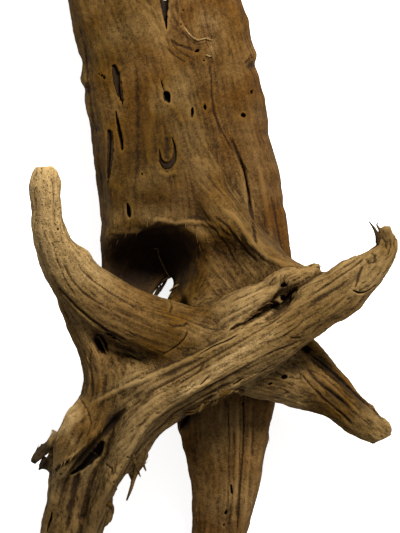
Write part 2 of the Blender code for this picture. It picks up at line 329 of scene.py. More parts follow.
# Small forms that are joined to the wood before its skin is made: x, y, z, half width, half thickness
extras = {
    "rimBridge": [(27, -19, 91, 6, 9), (36, -12, 93, 7, 9), (45, -7.5, 94, 7, 9), (54, -5, 93, 6, 9),
                  (60, -2, 89, 4, 8)],
    "knotBridge": [(38, -22, 92, 2.5, 4), (42.5, -16, 92, 2.2, 4), (46, -11, 92, 2.5, 4)],
    "finFill": [(57, -51, 61, 3, 4), (66.6, -60, 55, 3, 4), (77.4, -70.8, 50.5, 3, 4),
                (87, -80.4, 48, 3, 4)],
    "gutterFill": [(-58, -90, 72, 5, 6), (-63, -98.6, 71, 7, 6), (-70, -110, 66, 8, 6),
                   (-79, -123, 59, 9, 6), (-86, -141, 53, 9, 6), (-89, -161, 48, 9, 6),
                   (-91, -176, 36, 7, 5), (-92, -186, 26, 4, 4)],
    "hookKnobOne": [(101.0, 20.5, 97, 2.4, 4), (103.6, 22.6, 97, 2.6, 4), (105.2, 20.6, 97, 2.0, 3)],
    "hookKnobTwo": [(107.0, 15.0, 96, 2.4, 4), (108.8, 12.6, 96, 2.6, 4), (108.6, 9.0, 96, 2.2, 4)],
    "rootletKnob": [(-41, -112, 62, 3.5, 4), (-44, -118, 61, 4.0, 4), (-46, -124, 60, 2.5, 3)],
    "finCurl": [(101, -94, 43, 3.5, 4), (105.5, -96.5, 44, 3.2, 4), (107.5, -101, 44, 2.5, 3)],
}


def addRings(mesh, rings):
    # rings of places with faces between them
    made = [[mesh.verts.new(Vector(place / 1000)) for place in ring] for ring in rings]
    count = len(made[0])
    for ring, following in zip(made, made[1:]):
        for k in range(count):
            after = (k + 1) % count
            mesh.faces.new((ring[k], ring[after], following[after], following[k]))
    return made


def closeEnds(mesh, made):
    mesh.faces.new(list(reversed(made[0])))
    mesh.faces.new(made[-1])


def meshData(mesh, name):
    data = bpy.data.meshes.new(name)
    mesh.to_mesh(data)
    mesh.free()
    return data


def tube(name, stations, sides=18, step=2.0):
    rows, _ = curveThrough(stations, step)
    forward = unit(np.gradient(rows[:, :3], axis=0))
    side = unit(np.cross(forward, (0, 0, 1.0)))
    up = np.cross(side, forward)
    angles = np.arange(sides) * 2 * math.pi / sides
    mesh = bmesh.new()
    rings = []
    for row, across, above in zip(rows, side, up):
        flat = np.outer(np.cos(angles) * row[3], across)
        rings.append(row[:3] + flat + np.outer(np.sin(angles) * row[4], above))
    closeEnds(mesh, addRings(mesh, rings))
    bmesh.ops.recalc_face_normals(mesh, faces=mesh.faces)
    return meshData(mesh, name)


def rawSkin():
    # the CAD solid's surface with the extra forms, as one fine even mesh
    mesh = bmesh.new()
    mesh.from_mesh(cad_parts["driftwood"].data)
    bmesh.ops.remove_doubles(mesh, verts=mesh.verts, dist=1e-6)
    for name, stations in extras.items():
        shifted = [(*(np.array(row[:3]) + limbShift), *row[3:]) for row in stations]
        data = tube(name, shifted)
        mesh.from_mesh(data)
        bpy.data.meshes.remove(data)
    made = newObject("driftwoodSkin", meshData(mesh, "driftwoodSkin"))
    remesh = made.modifiers.new("even", "REMESH")
    remesh.mode = "VOXEL"
    remesh.voxel_size = skin["voxel"] / 1000
    baked(made)
    putPlaces(made, smoothed(placesOf(made), edgesOf(made), skin["facetRounds"]))
    return made


# Relief along the grain

def addNode(tree, kind, inputs=None, **settings):
    node = tree.nodes.new(kind)
    for name, value in settings.items():
        setattr(node, name, value)
    for key, value in (inputs or {}).items():
        socket = node.inputs[key]
        if isinstance(value, bpy.types.NodeSocket):
            tree.links.new(value, socket)
        else:
            socket.default_value = value
    return node


def addMath(tree, operation, first, second=None, third=None):
    inputs = {0: first}
    if second is not None:
        inputs[1] = second
    if third is not None:
        inputs[2] = third
    return addNode(tree, "ShaderNodeMath", inputs, operation=operation).outputs[0]


def addVectorMath(tree, operation, first, second):
    key = 3 if operation == "SCALE" else 1
    return addNode(tree, "ShaderNodeVectorMath", {0: first, key: second}, operation=operation).outputs[0]


def addMix(tree, kind, factor, first, second):
    node = addNode(tree, "ShaderNodeMix", data_type=kind)
    places = {"FLOAT": (0, 2, 3, 0), "VECTOR": (0, 4, 5, 1), "RGBA": (0, 6, 7, 2)}[kind]
    for place, value in zip(places, (factor, first, second)):
        if isinstance(value, bpy.types.NodeSocket):
            tree.links.new(value, node.inputs[place])
        else:
            node.inputs[place].default_value = value
    return node.outputs[places[3]]


def addRange(tree, value, low, high, toLow=0.0, toHigh=1.0, smooth=False):
    node = addNode(tree, "ShaderNodeMapRange", {0: value, 1: low, 2: high, 3: toLow, 4: toHigh})
    node.interpolation_type = "SMOOTHSTEP" if smooth else "LINEAR"
    return node.outputs[0]


def addNoise(tree, vector, scale, detail=2.0, roughness=0.5, distortion=0.0):
    inputs = {"Vector": vector, "Scale": scale, "Detail": detail, "Roughness": roughness,
              "Distortion": distortion}
    return addNode(tree, "ShaderNodeTexNoise", inputs).outputs[0]


def stretched(tree, vector, along, across=1.0):
    # grain coordinate for a texture that runs along the grain
    return addVectorMath(tree, "MULTIPLY", vector, (across, across, along))


def weighted(tree, parts, weights):
    total = 0.0
    for name, weight in weights.items():
        total = addMath(tree, "MULTIPLY_ADD", parts[name], weight, total)
    return total


def newTree(name, kind, inputs, outputs):
    tree = bpy.data.node_groups.new(name, kind)
    for socketName, socketKind, value in inputs:
        socket = tree.interface.new_socket(name=socketName, in_out="INPUT", socket_type=socketKind)
        if value is not None:
            socket.default_value = value
    for socketName, socketKind in outputs:
        tree.interface.new_socket(name=socketName, in_out="OUTPUT", socket_type=socketKind)
    return tree, addNode(tree, "NodeGroupInput").outputs, addNode(tree, "NodeGroupOutput").inputs


def newModifierTree(name, values):
    # a geometry tree with a number for each of these names, from the geometry to the dressed one
    inputs = [("Geometry", "NodeSocketGeometry", None)]
    for key, value in values.items():
        inputs.append((key, "NodeSocketInt" if isinstance(value, int) else "NodeSocketFloat", value))
    inputs.append(("Material", "NodeSocketMaterial", None))
    return newTree(name, "GeometryNodeTree", inputs, [("Geometry", "NodeSocketGeometry")])


def endTree(tree, geometry, given, result):
    solid = addNode(tree, "GeometryNodeRealizeInstances", {0: geometry})
    inputs = {"Geometry": solid.outputs[0], "Material": given["Material"]}
    dressed = addNode(tree, "GeometryNodeSetMaterial", inputs)
    tree.links.new(dressed.outputs[0], result["Geometry"])
    return tree


def namedValue(tree, name, kind="FLOAT"):
    return addNode(tree, "GeometryNodeInputNamedAttribute", {"Name": name}, data_type=kind).outputs[0]


def addTree(obj, tree, values):
    # a modifier's inputs go by the socket's identifier
    modifier = obj.modifiers.new(tree.name, "NODES")
    modifier.node_group = tree
    for item in tree.interface.items_tree:
        if item.item_type == "SOCKET" and item.in_out == "INPUT" and item.name in values:
            modifier[item.identifier] = values[item.name]


# The wood's relief: heights and widths in mm
relief = {
    "Ridge Height": 1.9,     # long swells along the grain
    "Ridge Width": 9.0,
    "Fibre Height": 1.0,     # narrow ribs on them
    "Fibre Width": 2.3,
    "Check Depth": 1.6,      # long drying cracks
    "Check Width": 6.0,
    "Lump Height": 1.5,
    "Lump Width": 15.0,
    "Inward": 0.3,
}
# Stretch along the grain, detail, roughness, distortion
reliefNoise = {"Ridge": (0.07, 3.0, 0.55, 0.5), "Fibre": (0.075, 2.0, 0.55, 0.2)}


def heightTree():
    # height of the wood's surface at a grain coordinate, in millimetres
    inputs = [("Coordinate", "NodeSocketVector", None)]
    inputs += [(name, "NodeSocketFloat", 1.0) for name in list(relief)[:6]]
    tree, given, result = newTree("grainHeight", "GeometryNodeTree", inputs, [("Height", "NodeSocketFloat")])
    coordinate = given["Coordinate"]

    def swell(part, along, *noise):
        scale = addMath(tree, "DIVIDE", 1.0, given[part + " Width"])
        height = addNoise(tree, stretched(tree, coordinate, along), scale, *noise)
        height = addMath(tree, "MULTIPLY_ADD", height, 2.0, -1.0)
        return addMath(tree, "MULTIPLY", height, given[part + " Height"])

    ridge, fibre = (swell(part, *noise) for part, noise in reliefNoise.items())
    # a crack runs where the noise is near its middle value, in some places only
    checkScale = addMath(tree, "DIVIDE", 1.0, given["Check Width"])
    check = addNoise(tree, stretched(tree, coordinate, 0.022), checkScale, 0.0, 0.5, 0.25)
    check = addMath(tree, "ABSOLUTE", addMath(tree, "SUBTRACT", check, 0.5))
    check = addRange(tree, check, 0.0, 0.024, 1.0, 0.0, True)
    cracked = addNoise(tree, stretched(tree, coordinate, 0.035, 0.11), 1.0, 1.0)
    check = addMath(tree, "MULTIPLY", check, addRange(tree, cracked, 0.5, 0.62, 0.0, 1.0, True))
    check = addMath(tree, "MULTIPLY", check, given["Check Depth"])
    total = addMath(tree, "SUBTRACT", addMath(tree, "ADD", ridge, fibre), check)
    tree.links.new(total, result["Height"])
    return tree


def reliefTree():
    tree, given, result = newModifierTree("woodRelief", relief)
    inner = heightTree()
    heights = []
    for name in ("grainOne", "grainTwo"):
        group = addNode(tree, "GeometryNodeGroup", node_tree=inner)
        tree.links.new(namedValue(tree, name, "FLOAT_VECTOR"), group.inputs["Coordinate"])
        for part in ("Ridge", "Fibre", "Check"):
            size = "Check Depth" if part == "Check" else part + " Height"
            amount = namedValue(tree, part.lower() + "Amount")
            tree.links.new(addMath(tree, "MULTIPLY", given[size], amount), group.inputs[size])
            tree.links.new(given[part + " Width"], group.inputs[part + " Width"])
        heights.append(group.outputs[0])
    height = addMix(tree, "FLOAT", namedValue(tree, "grainMix"), *heights)
    position = addNode(tree, "GeometryNodeInputPosition").outputs[0]
    lumpScale = addMath(tree, "DIVIDE", 1000.0, given["Lump Width"])
    lump = addNoise(tree, position, lumpScale, 2.0, 0.5)
    lump = addMath(tree, "MULTIPLY", addMath(tree, "MULTIPLY_ADD", lump, 2.0, -1.0), given["Lump Height"])
    height = addMath(tree, "SUBTRACT", addMath(tree, "ADD", height, lump), given["Inward"])
    height = addMath(tree, "MULTIPLY", height, namedValue(tree, "reliefMask"))
    height = addMath(tree, "MULTIPLY", height, 0.001)
    normal = addNode(tree, "GeometryNodeInputNormal").outputs[0]
    inputs = {"Geometry": given["Geometry"], "Offset": addVectorMath(tree, "SCALE", normal, height)}
    moved = addNode(tree, "GeometryNodeSetPosition", inputs)
    return endTree(tree, moved.outputs[0], given, result)


def twoLimbs(reach):
    # the nearest limb, the second nearest, and how much of the first shows
    order = np.argsort(reach, axis=1)
    first, second = order[:, 0], order[:, 1]
    rows = np.arange(len(reach))
    gap = reach[rows, second] - reach[rows, first]
    return first, second, 1 - ramp(gap, -skin["grainBlend"], skin["grainBlend"])


def addRelief(wood, frames, material):
    places = placesOf(wood)
    reach, coordinates, _ = grainOf(places, frames)
    first, second, mix = twoLimbs(reach)
    rows = np.arange(len(places))
    share = limbShare(reach)
    addAttribute(wood, "grainOne", coordinates[rows, first])
    addAttribute(wood, "grainTwo", coordinates[rows, second])
    addAttribute(wood, "grainMix", mix)
    for look in ("ridge", "fibre", "check"):
        addAttribute(wood, look + "Amount", limbValue(share, look))
    addAttribute(wood, "reliefMask", ramp(places[:, 2], *skin["restFade"]))
    addTree(wood, reliefTree(), {**relief, "Material": material})
    baked(wood)
    for name in [layer.name for layer in wood.data.attributes if layer.name.endswith("Amount")]:
        wood.data.attributes.remove(wood.data.attributes[name])


# How the marks below are drawn
markLook = {
    "bend": 0.5,             # pixels that a line strays by
    "bendScale": 9,
    "uneven": 0.35,          # share of the height that comes and goes along a line
    "unevenScale": 6,
    "ends": (-0.02, 0.16),   # share of the length over which an end fades
    "sharpness": 1.3,        # of a groove
    "grooveWidth": 0.66,     # share of the width and depth that a groove keeps
    "grooveDepth": 0.85,
}

# Marks that the photograph shows: height in mm (a groove's is negative), width and points in pixels
marks = [
    # trunk
    (-0.8, 2.6, [(208.5, 58), (211, 78), (211.8, 95), (214, 112), (220, 128), (228, 143), (237, 156)]),
    (-3.4, 4.0, [(229, 135), (237, 153), (243.4, 169), (247, 186), (249.8, 204), (253, 222), (255.4, 239),
                 (257.8, 249)]),
    (0.6, 3.4, [(172, 6), (178, 18), (184, 28), (190, 36), (197, 41), (204, 40), (211, 37)]),
    (-1.0, 3.4, [(170, 38), (177, 44), (186, 47), (194, 50), (203, 48)]),
    (-0.7, 2.0, [(166, 46), (172, 53), (180, 59), (187, 63)]),
    (-0.7, 2.0, [(170, 40), (178, 50), (187, 56), (196, 60)]),
    (-0.6, 2.0, [(160, 60), (163, 72), (163, 88)]),
    (0.7, 4.0, [(166, 100), (171, 104), (178, 112), (182, 124)]),
    (-1.2, 7.5, [(167, 136), (167, 148), (167, 160)]),
    (0.8, 4.0, [(158, 172), (167, 175), (177, 171)]),
    (-0.8, 5.0, [(84, 40), (88, 90), (94, 130)]),
    (0.5, 6.0, [(150, 60), (152, 100), (150, 140), (148, 180)]),
    (-0.5, 7.0, [(136, 60), (138, 110), (137, 160), (133, 200)]),
    (0.5, 6.0, [(222, 20), (224, 60), (230, 100), (240, 135)]),
    (-0.9, 3.0, [(252, 53), (249, 60), (244, 64)]),
    (0.9, 4.5, [(259, 165), (263, 190), (268, 215), (272, 240)]),
    (-0.7, 3.0, [(270, 190), (275, 215), (280, 240), (285, 262)]),
    # lip
    (1.0, 4.0, [(103, 232), (122, 233), (141, 232), (150, 226), (157, 219), (166, 221), (176, 223),
                (190, 221), (206, 223), (221, 229)]),
    (1.2, 4.5, [(219, 206), (232, 216), (244, 232), (253, 244), (267, 257), (281, 263), (292, 266),
                (303, 268)]),
    (-1.3, 3.5, [(212, 214), (226, 226), (238, 241), (249, 254), (259, 263)]),
    (-0.8, 3.0, [(200, 216), (215, 230), (226, 244), (236, 262)]),
    # horn
    (-0.9, 3.0, [(62, 262), (72, 280), (84, 293), (98, 303), (114, 311)]),
    (-0.8, 2.4, [(74, 258), (84, 272), (98, 284), (114, 295), (132, 304)]),
    (-0.8, 2.2, [(52, 240), (58, 262), (66, 282), (78, 300)]),
    (-1.5, 3.2, [(53, 281), (62, 292), (76, 307), (90, 319), (106, 330), (122, 337)]),
    (-1.2, 2.6, [(168, 297), (172, 305), (169, 313)]),
    (-1.0, 3.0, [(166, 322), (174, 326), (184, 325), (190, 322)]),
    # crossing
    (-2.6, 3.0, [(284, 300), (277, 305), (266, 309), (256, 317), (246, 322.5), (236, 326), (228, 331)]),
    (-1.6, 2.2, [(243, 331), (232, 339), (219, 345), (204, 353), (190, 360)]),
    (-1.3, 2.0, [(188.6, 328), (185, 337), (178, 345), (169, 351), (160, 355)]),
    (1.3, 4.2, [(313, 284), (300, 291), (288, 300), (276, 309), (262, 319), (248, 327), (232, 337),
                (214, 347), (195, 357), (172, 367), (150, 377), (122, 388), (98, 401), (80, 412)]),
    (-1.0, 3.4, [(296, 305), (280, 316), (262, 328), (240, 342), (214, 356), (190, 370), (165, 384),
                 (140, 398)]),
    (-0.8, 2.0, [(305, 319), (296, 328), (284, 336), (268, 343)]),
    (-1.4, 2.0, [(301, 337), (293, 338), (289, 336)]),
    (-1.2, 2.0, [(303.5, 339), (292, 345), (278, 350), (262, 357)]),
    (1.5, 4.4, [(282, 341), (270, 348), (252, 358), (236, 367), (218, 376), (201, 386), (184, 397),
                (168, 406), (150.5, 419), (141, 431), (134.5, 442), (125, 459), (116, 474), (108, 488),
                (101, 500), (93, 514), (84, 530)]),
    (-1.3, 2.2, [(243, 378), (238, 382), (233, 385)]),
    (-1.2, 2.0, [(204, 364), (199, 370), (195, 375)]),
    (-1.4, 2.0, [(210, 376), (205, 381), (200, 385)]),
    (-1.2, 2.4, [(262, 352), (244, 362), (226, 372), (209, 383)]),
    (-1.0, 2.4, [(232, 352), (214, 362), (196, 373), (178, 385), (160, 397)]),
    (-1.0, 2.6, [(222, 388), (206, 395), (190, 404), (175, 413), (162, 424)]),
    (0.8, 3.0, [(262, 372), (244, 381), (226, 391), (210, 399)]),
    # beak
    (1.0, 3.2, [(372, 247), (360, 254), (344, 264), (330, 272), (318, 279), (306, 286)]),
    (-0.9, 2.6, [(366, 258), (352, 268), (338, 277), (322, 288), (306, 298)]),
    (-0.8, 3.0, [(350, 292), (338, 302), (324, 312), (308, 320)]),
    (-1.5, 3.0, [(363, 266), (359, 274), (357, 283), (355, 289)]),
    (-1.4, 3.0, [(370, 252), (375, 256), (374, 262), (369, 263), (366, 258)]),
    (-1.3, 2.6, [(381, 236), (386, 242), (387, 250)]),
    (-1.2, 2.4, [(389, 238), (391, 246), (388, 256)]),
    (-1.0, 3.0, [(318, 274), (332, 267), (346, 259), (360, 250), (373, 242)]),
    # fin
    (-1.6, 2.6, [(316, 392), (330, 404), (344, 416), (354, 426)]),
    (-1.2, 2.2, [(300, 372), (312, 386), (322, 396)]),
    (0.9, 2.6, [(322, 378), (336, 391), (350, 404), (362, 416)]),
    (-3.2, 3.0, [(305, 350), (317, 360), (331.5, 372), (345, 384), (358, 396), (371, 407), (386, 424)]),
    (-2.0, 3.4, [(306, 366), (315, 378), (328, 390), (343, 402), (352, 409)]),
    (1.0, 2.6, [(306, 356), (320, 370), (336, 384), (352, 397), (366, 408)]),
    # web and left leg
    (-1.6, 2.4, [(40, 396), (46, 388), (53, 385), (60, 390), (66, 397)]),
    (-1.3, 2.0, [(38, 402), (44, 393), (52, 390), (58, 396)]),
    (-0.9, 2.2, [(70, 392), (80, 398), (88, 410), (92, 424), (86, 438)]),
    (1.1, 3.4, [(97, 428), (90, 441), (79, 452), (66, 460), (56, 467)]),
    (-2.2, 5.0, [(94, 434), (84, 448), (72, 459), (60, 466), (52, 474)]),
    (-1.4, 3.0, [(98, 337), (106, 334), (116, 336), (127, 341)]),
    (0.9, 3.0, [(106, 345), (116, 349), (130, 353), (144, 357)]),
    (-1.1, 2.4, [(128, 354), (136, 359), (143, 361)]),
    (-0.9, 4.0, [(92, 345), (90, 360), (92, 380), (92, 400)]),
    (-2.4, 5.4, [(126, 408), (118, 416), (110, 427), (102, 437)]),
    (-2.6, 8.0, [(80, 470), (75, 486), (71, 505), (67, 534)]),
    (1.0, 2.6, [(58, 476), (52, 483), (48, 491)]),
    (-1.0, 3.0, [(96, 470), (90, 488), (84, 505), (79, 525)]),
    (-1.2, 2.2, [(105, 464), (112, 470), (117, 475)]),
    # right leg
    (-1.5, 2.4, [(244, 392), (243.5, 410), (243.8, 430), (243, 452), (241, 478), (239, 505), (237, 535)]),
    (-0.8, 2.4, [(228, 398), (229, 440), (229, 480), (226, 530)]),
    (1.0, 3.2, [(237.5, 396), (237.5, 430), (237, 465), (235, 500), (232, 535)]),
    (0.8, 3.2, [(250.5, 396), (250, 430), (248, 470), (245, 505), (242, 535)]),
]


def alongLine(pixels, line):
    # distance of each pixel place to the line, and how far along it that is, 0 to 1
    line = np.array(line, float)
    lengths = np.linalg.norm(np.diff(line, axis=0), axis=1)
    starts = np.concatenate([[0.0], np.cumsum(lengths)])
    best = np.full(len(pixels), 1e9)
    share = np.zeros(len(pixels))
    for k, length in enumerate(lengths):
        way = (line[k + 1] - line[k]) / length
        t = np.clip((pixels - line[k]) @ way, 0, length)
        distance = np.linalg.norm(pixels - line[k] - t[:, None] * way, axis=1)
        closer = distance < best
        best[closer] = distance[closer]
        share[closer] = (starts[k] + t[closer]) / starts[-1]
    return best, share


def wobble(places, scale, seed):
    # a smooth uneven value around 0, for lines that no hand drew
    spread = np.random.default_rng(seed).normal(0, 1, (6, 3)) / scale
    phase = np.random.default_rng(seed + 1).uniform(0, 6.28, 6)
    return np.sin(places @ spread.T + phase).sum(axis=1) / 3.5


def markHeights(places, normals):
    pixels = pixelOf(places)
    seen = seenFromAbove(topMap(places), places) & (normals[:, 2] > 0.1)
    candidates = np.nonzero(seen)[0]
    height = np.zeros(len(places))
    for number, (amount, width, line) in enumerate(marks):
        if amount < 0:
            amount, width = amount * markLook["grooveDepth"], width * markLook["grooveWidth"]
        line = np.array(line, float)
        low, high = line.min(axis=0) - width * 2, line.max(axis=0) + width * 2
        near = candidates[((pixels[candidates] > low) & (pixels[candidates] < high)).all(axis=1)]
        strays = [wobble(places[near], markLook["bendScale"], seed) for seed in (number, number + 50)]
        bent = pixels[near] + markLook["bend"] * np.column_stack(strays)
        distance, share = alongLine(bent, line)
        taper = ramp(share, *markLook["ends"]) * ramp(1 - share, *markLook["ends"])
        strength = 1 + markLook["uneven"] * wobble(places[near], markLook["unevenScale"], number + 100)
        if amount < 0:
            shape = np.clip(1 - distance / width, 0, 1) ** markLook["sharpness"]
        else:
            shape = 1 - ramp(distance, 0, width)
        height[near] += amount * taper * strength * shape * ramp(normals[near, 2], 0.1, 0.5)
    return height


def carveMarks(wood):
    places = placesOf(wood)
    normals = normalsOf(wood)
    putPlaces(wood, places + normals * markHeights(places, normals)[:, None])


# Crisp holes and slots are cut through the skin by solids: rings of pixels, each at a depth in mm
cutters = {
    "pitSides": 12,
    "pitRagged": 0.16,       # share that the rim strays by
    "pitDrift": 0.5,         # pixels that the lower rings stray by, once or twice
    "pitRings": ((1.15, 0), (1.0, 0), (0.85, 1), (0.4, 2)),        # share of the size, times the drift
    "pitDepths": (0.5, 0.55),                                      # of the rim in mm, of the waist as a share
    "slotStep": 2.5,         # pixels between stations
    "slotRagged": 0.22,
    "slotRings": (1.25, 1.0, 0.8, 0.3),
    "slotDepths": (0.4, 0.6),
    "rise": 4.0,             # how far above the wood they start
}

# Pits: middle, half sizes, turn in degrees, depth in mm
pits = [
    ((183.6, 10.4), (1.6, 1.1), 20, 5), ((181, 24), (1.0, 1.0), 0, 4),
    ((181.5, 45.5), (1.6, 0.9), 20, 4), ((197, 51), (2.8, 1.6), -20, 6),
    ((204, 60.6), (1.5, 0.9), 10, 3), ((167, 96.5), (3.6, 6.4), -14, 9),
    ((192.4, 112.4), (1.7, 6.0), 4, 7), ((205, 107), (1.8, 3.0), -8, 6),
    ((251.4, 92.2), (1.7, 2.6), 8, 6), ((243.4, 115.2), (2.9, 2.3), 35, 6),
    ((101.5, 75.5), (1.7, 1.4), 0, 4), ((104, 77.5), (1.5, 2.0), 0, 4), ((99, 74), (1.6, 0.9), 30, 3),
    ((142, 173.8), (1.1, 1.6), 0, 4), ((86, 87.5), (1.6, 1.2), 30, 4), ((252, 57.4), (1.4, 1.6), 0, 4),
    ((58, 229), (1.2, 1.6), 0, 4), ((35.5, 220), (1.8, 1.8), 0, 2), ((284.3, 285), (4.2, 3.2), -20, 9),
    ((283, 297.4), (3.0, 3.6), 20, 9), ((232.3, 394.7), (4.6, 2.2), 35, 6),
    ((284.3, 377), (3.6, 2.4), -10, 5), ((270, 384), (2.6, 1.4), -25, 4),
    ((231.3, 490), (1.5, 6.0), -4, 4), ((226, 513), (1.9, 3.0), 0, 4), ((224, 525), (1.2, 2.0), 0, 3),
    ((61, 474), (2.0, 1.2), -30, 4), ((319, 320), (1.2, 1.2), 0, 3), ((174, 294), (1.0, 1.0), 0, 3),
    ((243, 404), (1.5, 2.6), 0, 3), ((114, 482), (1.2, 1.2), 0, 4),
]

# Slots: points with widths, depth in mm, for some the level that they start from
slots = [
    ([(191, 404, 5), (188, 413, 9.0), (183.5, 422, 8.4), (179, 432, 5)], 14, 54),
    ([(31, 470, 3.0), (38, 463.5, 3.0), (45, 457.5, 2.6), (49, 453, 0.8)], 30, 70),
    ([(29, 445, 16), (37, 438.5, 16), (46, 431.5, 15), (50, 428, 7)], 40, 76),
    ([(163.5, -16, 14), (164, -4, 10.5), (164.6, 6, 8.4), (165.4, 16, 5.2), (166.2, 24, 2.6),
      (166.6, 29.5, 0.8)], 11),
    ([(160.5, 78, 0.8), (162, 84, 1.6), (164, 90, 1.6)], 4),
    ([(113.8, 64.5, 4.4), (115.2, 70, 7.4), (117.0, 80, 7.6), (119.4, 91, 6.2), (121.6, 100, 3.6)], 3.0),
    ([(112.6, 68, 1.0), (113.6, 78, 1.6), (116.4, 90, 1.4), (118.6, 97, 0.8)], 4.0),
    ([(119.8, 80, 0.8), (121.6, 92, 2.2), (122.4, 104.5, 1.4)], 4.5),
    ([(115.8, 111, 1.2), (117.4, 121, 3.0), (119.8, 133, 4.2), (121.8, 143, 4.2), (122.2, 150.5, 1.6)], 4.6),
    ([(95.6, 128, 1.4), (96, 135, 2.6), (97, 143, 1.4)], 4),
    ([(109.0, 129.5, 4.0), (109.4, 140, 7.2), (109.0, 154, 8.0), (108.0, 168, 6.6), (106.6, 184, 2.4)], 3.0),
    ([(112.0, 131, 1.0), (112.4, 144, 1.8), (111.6, 158, 1.8), (109.6, 172, 1.4), (108.0, 185, 0.8)], 4),
    ([(159.6, 148, 0.8), (160.2, 157, 3.0), (162.6, 163.0, 6.4), (167, 165.0, 8.0), (171.6, 162.5, 6.8),
      (174.4, 156.0, 4.4), (174.6, 147, 2.6), (172, 137, 1.0)], 3.0),
    ([(160.2, 160, 0.8), (162.6, 166, 1.8), (167, 168.2, 2.4), (172.0, 166, 1.8), (175.2, 160, 0.8)], 4),
    ([(127.2, 203, 1.6), (128.4, 208, 4.0), (129.4, 214, 4.6), (129.8, 217.5, 2.0)], 9),
    ([(240, 160, 0.6), (243.4, 170, 1.5), (247, 186, 2.0), (249.8, 204, 2.0), (253, 222, 2.2),
      (255.6, 240, 1.2)], 5),
    ([(279, 303, 2.0), (270, 306, 4.6), (262, 309, 5.0), (255, 316, 3.0), (248, 321, 1.2)], 7),
    ([(246, 322.5, 1.0), (238, 325.4, 1.6), (229, 331, 0.8)], 4),
    ([(239, 333.6, 0.8), (228, 340.4, 1.3), (214, 346, 1.3), (200, 354, 0.7)], 3.5),
    ([(188, 330, 0.7), (184.6, 338, 1.2), (177, 346, 1.2), (166, 352.6, 0.7)], 3),
    ([(352.4, 289.6, 0.8), (356, 292, 2.4), (363, 292.6, 1.6), (371, 288.6, 1.2), (376.5, 283, 0.6)], 4),
    ([(98, 338.5, 2.6), (101, 343, 6.4), (104.4, 349, 6.0), (106.4, 353, 2.0)], 12),
    ([(107, 333, 1.8), (111.5, 336, 4.4), (117, 339.6, 2.2), (122, 341.4, 0.9)], 6),
    ([(130, 354.4, 0.8), (134.5, 357.6, 2.2), (139.4, 360, 1.0)], 4),
    ([(102.6, 441, 4.6), (99.4, 449, 9.0), (92.0, 458, 9.0), (82, 467.0, 6.6), (70, 474.6, 2.0)], 9),
    ([(52, 511, 0.9), (51, 518, 2.4), (48.8, 525, 2.4), (47, 532, 1.2)], 6),
    ([(208, 377, 0.7), (204, 381.6, 1.2), (199.6, 385.4, 0.7)], 3),
    ([(243.6, 377.6, 0.8), (238.4, 381.6, 1.4), (232.8, 384.8, 0.8)], 3),
    ([(126.4, 457, 1.6), (134, 459, 2.4), (141, 458, 1.4)], 4),
]


def cutterRings(outlines, levels, depth, name):
    rim, waist = cutters[name]
    drops = (-cutters["rise"], rim, depth * waist, depth)
    return [[placeAt(pixel, level - drop) for pixel, level in zip(outline, levels)]
            for outline, drop in zip(outlines, drops)]


def addPits(mesh, top, noise):
    sides = cutters["pitSides"]
    angles = np.arange(sides) * 2 * math.pi / sides
    for middle, size, turn, depth in pits:
        ragged = 1 + noise.uniform(-cutters["pitRagged"], cutters["pitRagged"], sides)
        ring = np.column_stack([np.cos(angles) * size[0], np.sin(angles) * size[1]]) * ragged[:, None]
        a = math.radians(turn)
        ring = ring @ np.array([[math.cos(a), math.sin(a)], [-math.sin(a), math.cos(a)]])
        drift = noise.uniform(-cutters["pitDrift"], cutters["pitDrift"], 2)
        outlines = [middle + ring * share + drift * times for share, times in cutters["pitRings"]]
        levels = [topHeight(top, middle, 2)] * sides
        closeEnds(mesh, addRings(mesh, cutterRings(outlines, levels, depth, "pitDepths")))


def addSlots(mesh, top, noise):
    for line, depth, *fixed in slots:
        rows, _ = curveThrough([(x, y, 0, w) for x, y, w in line], cutters["slotStep"])
        way = unit(np.gradient(rows[:, :2], axis=0))
        side = np.column_stack([-way[:, 1], way[:, 0]])
        ragged = 1 + noise.uniform(-cutters["slotRagged"], cutters["slotRagged"], (len(rows), 2))
        outlines = []
        for share in cutters["slotRings"]:
            half = np.maximum(rows[:, 3], 0.5)[:, None] / 2 * share
            left = rows[:, :2] + side * half * ragged[:, :1]
            right = rows[:, :2] - side * half * ragged[:, 1:]
            outlines.append(np.vstack([left, right[::-1]]))
        levels = [fixed[0] if fixed else topHeight(top, row[:2], 2) for row in rows]
        made = addRings(mesh, cutterRings(outlines, levels + levels[::-1], depth, "slotDepths"))
        last = len(made[0]) - 1
        for ring, flip in ((made[0], True), (made[-1], False)):
            for k in range(len(rows) - 1):
                quad = [ring[k], ring[k + 1], ring[last - k - 1], ring[last - k]]
                mesh.faces.new(list(reversed(quad)) if flip else quad)


def cutHoles(wood):
    # returns the skin as it was before, which tells how deep a place lies in a hole
    uncut = BVHTree.FromObject(wood, currentGraph())
    top = topMap(placesOf(wood))
    noise = np.random.default_rng(7)
    for name, addCutters in (("pits", addPits), ("slots", addSlots)):
        mesh = bmesh.new()
        addCutters(mesh, top, noise)
        bmesh.ops.triangulate(mesh, faces=mesh.faces)
        bmesh.ops.recalc_face_normals(mesh, faces=mesh.faces)
        cutter = newObject(name, meshData(mesh, name))
        cut = wood.modifiers.new(name, "BOOLEAN")
        cut.operation = "DIFFERENCE"
        cut.solver = "MANIFOLD"
        cut.object = cutter
        before = len(wood.data.vertices)
        baked(wood)
        log(f"{name}: {before} to {len(wood.data.vertices)} points")
        bpy.data.objects.remove(cutter)
    return uncut


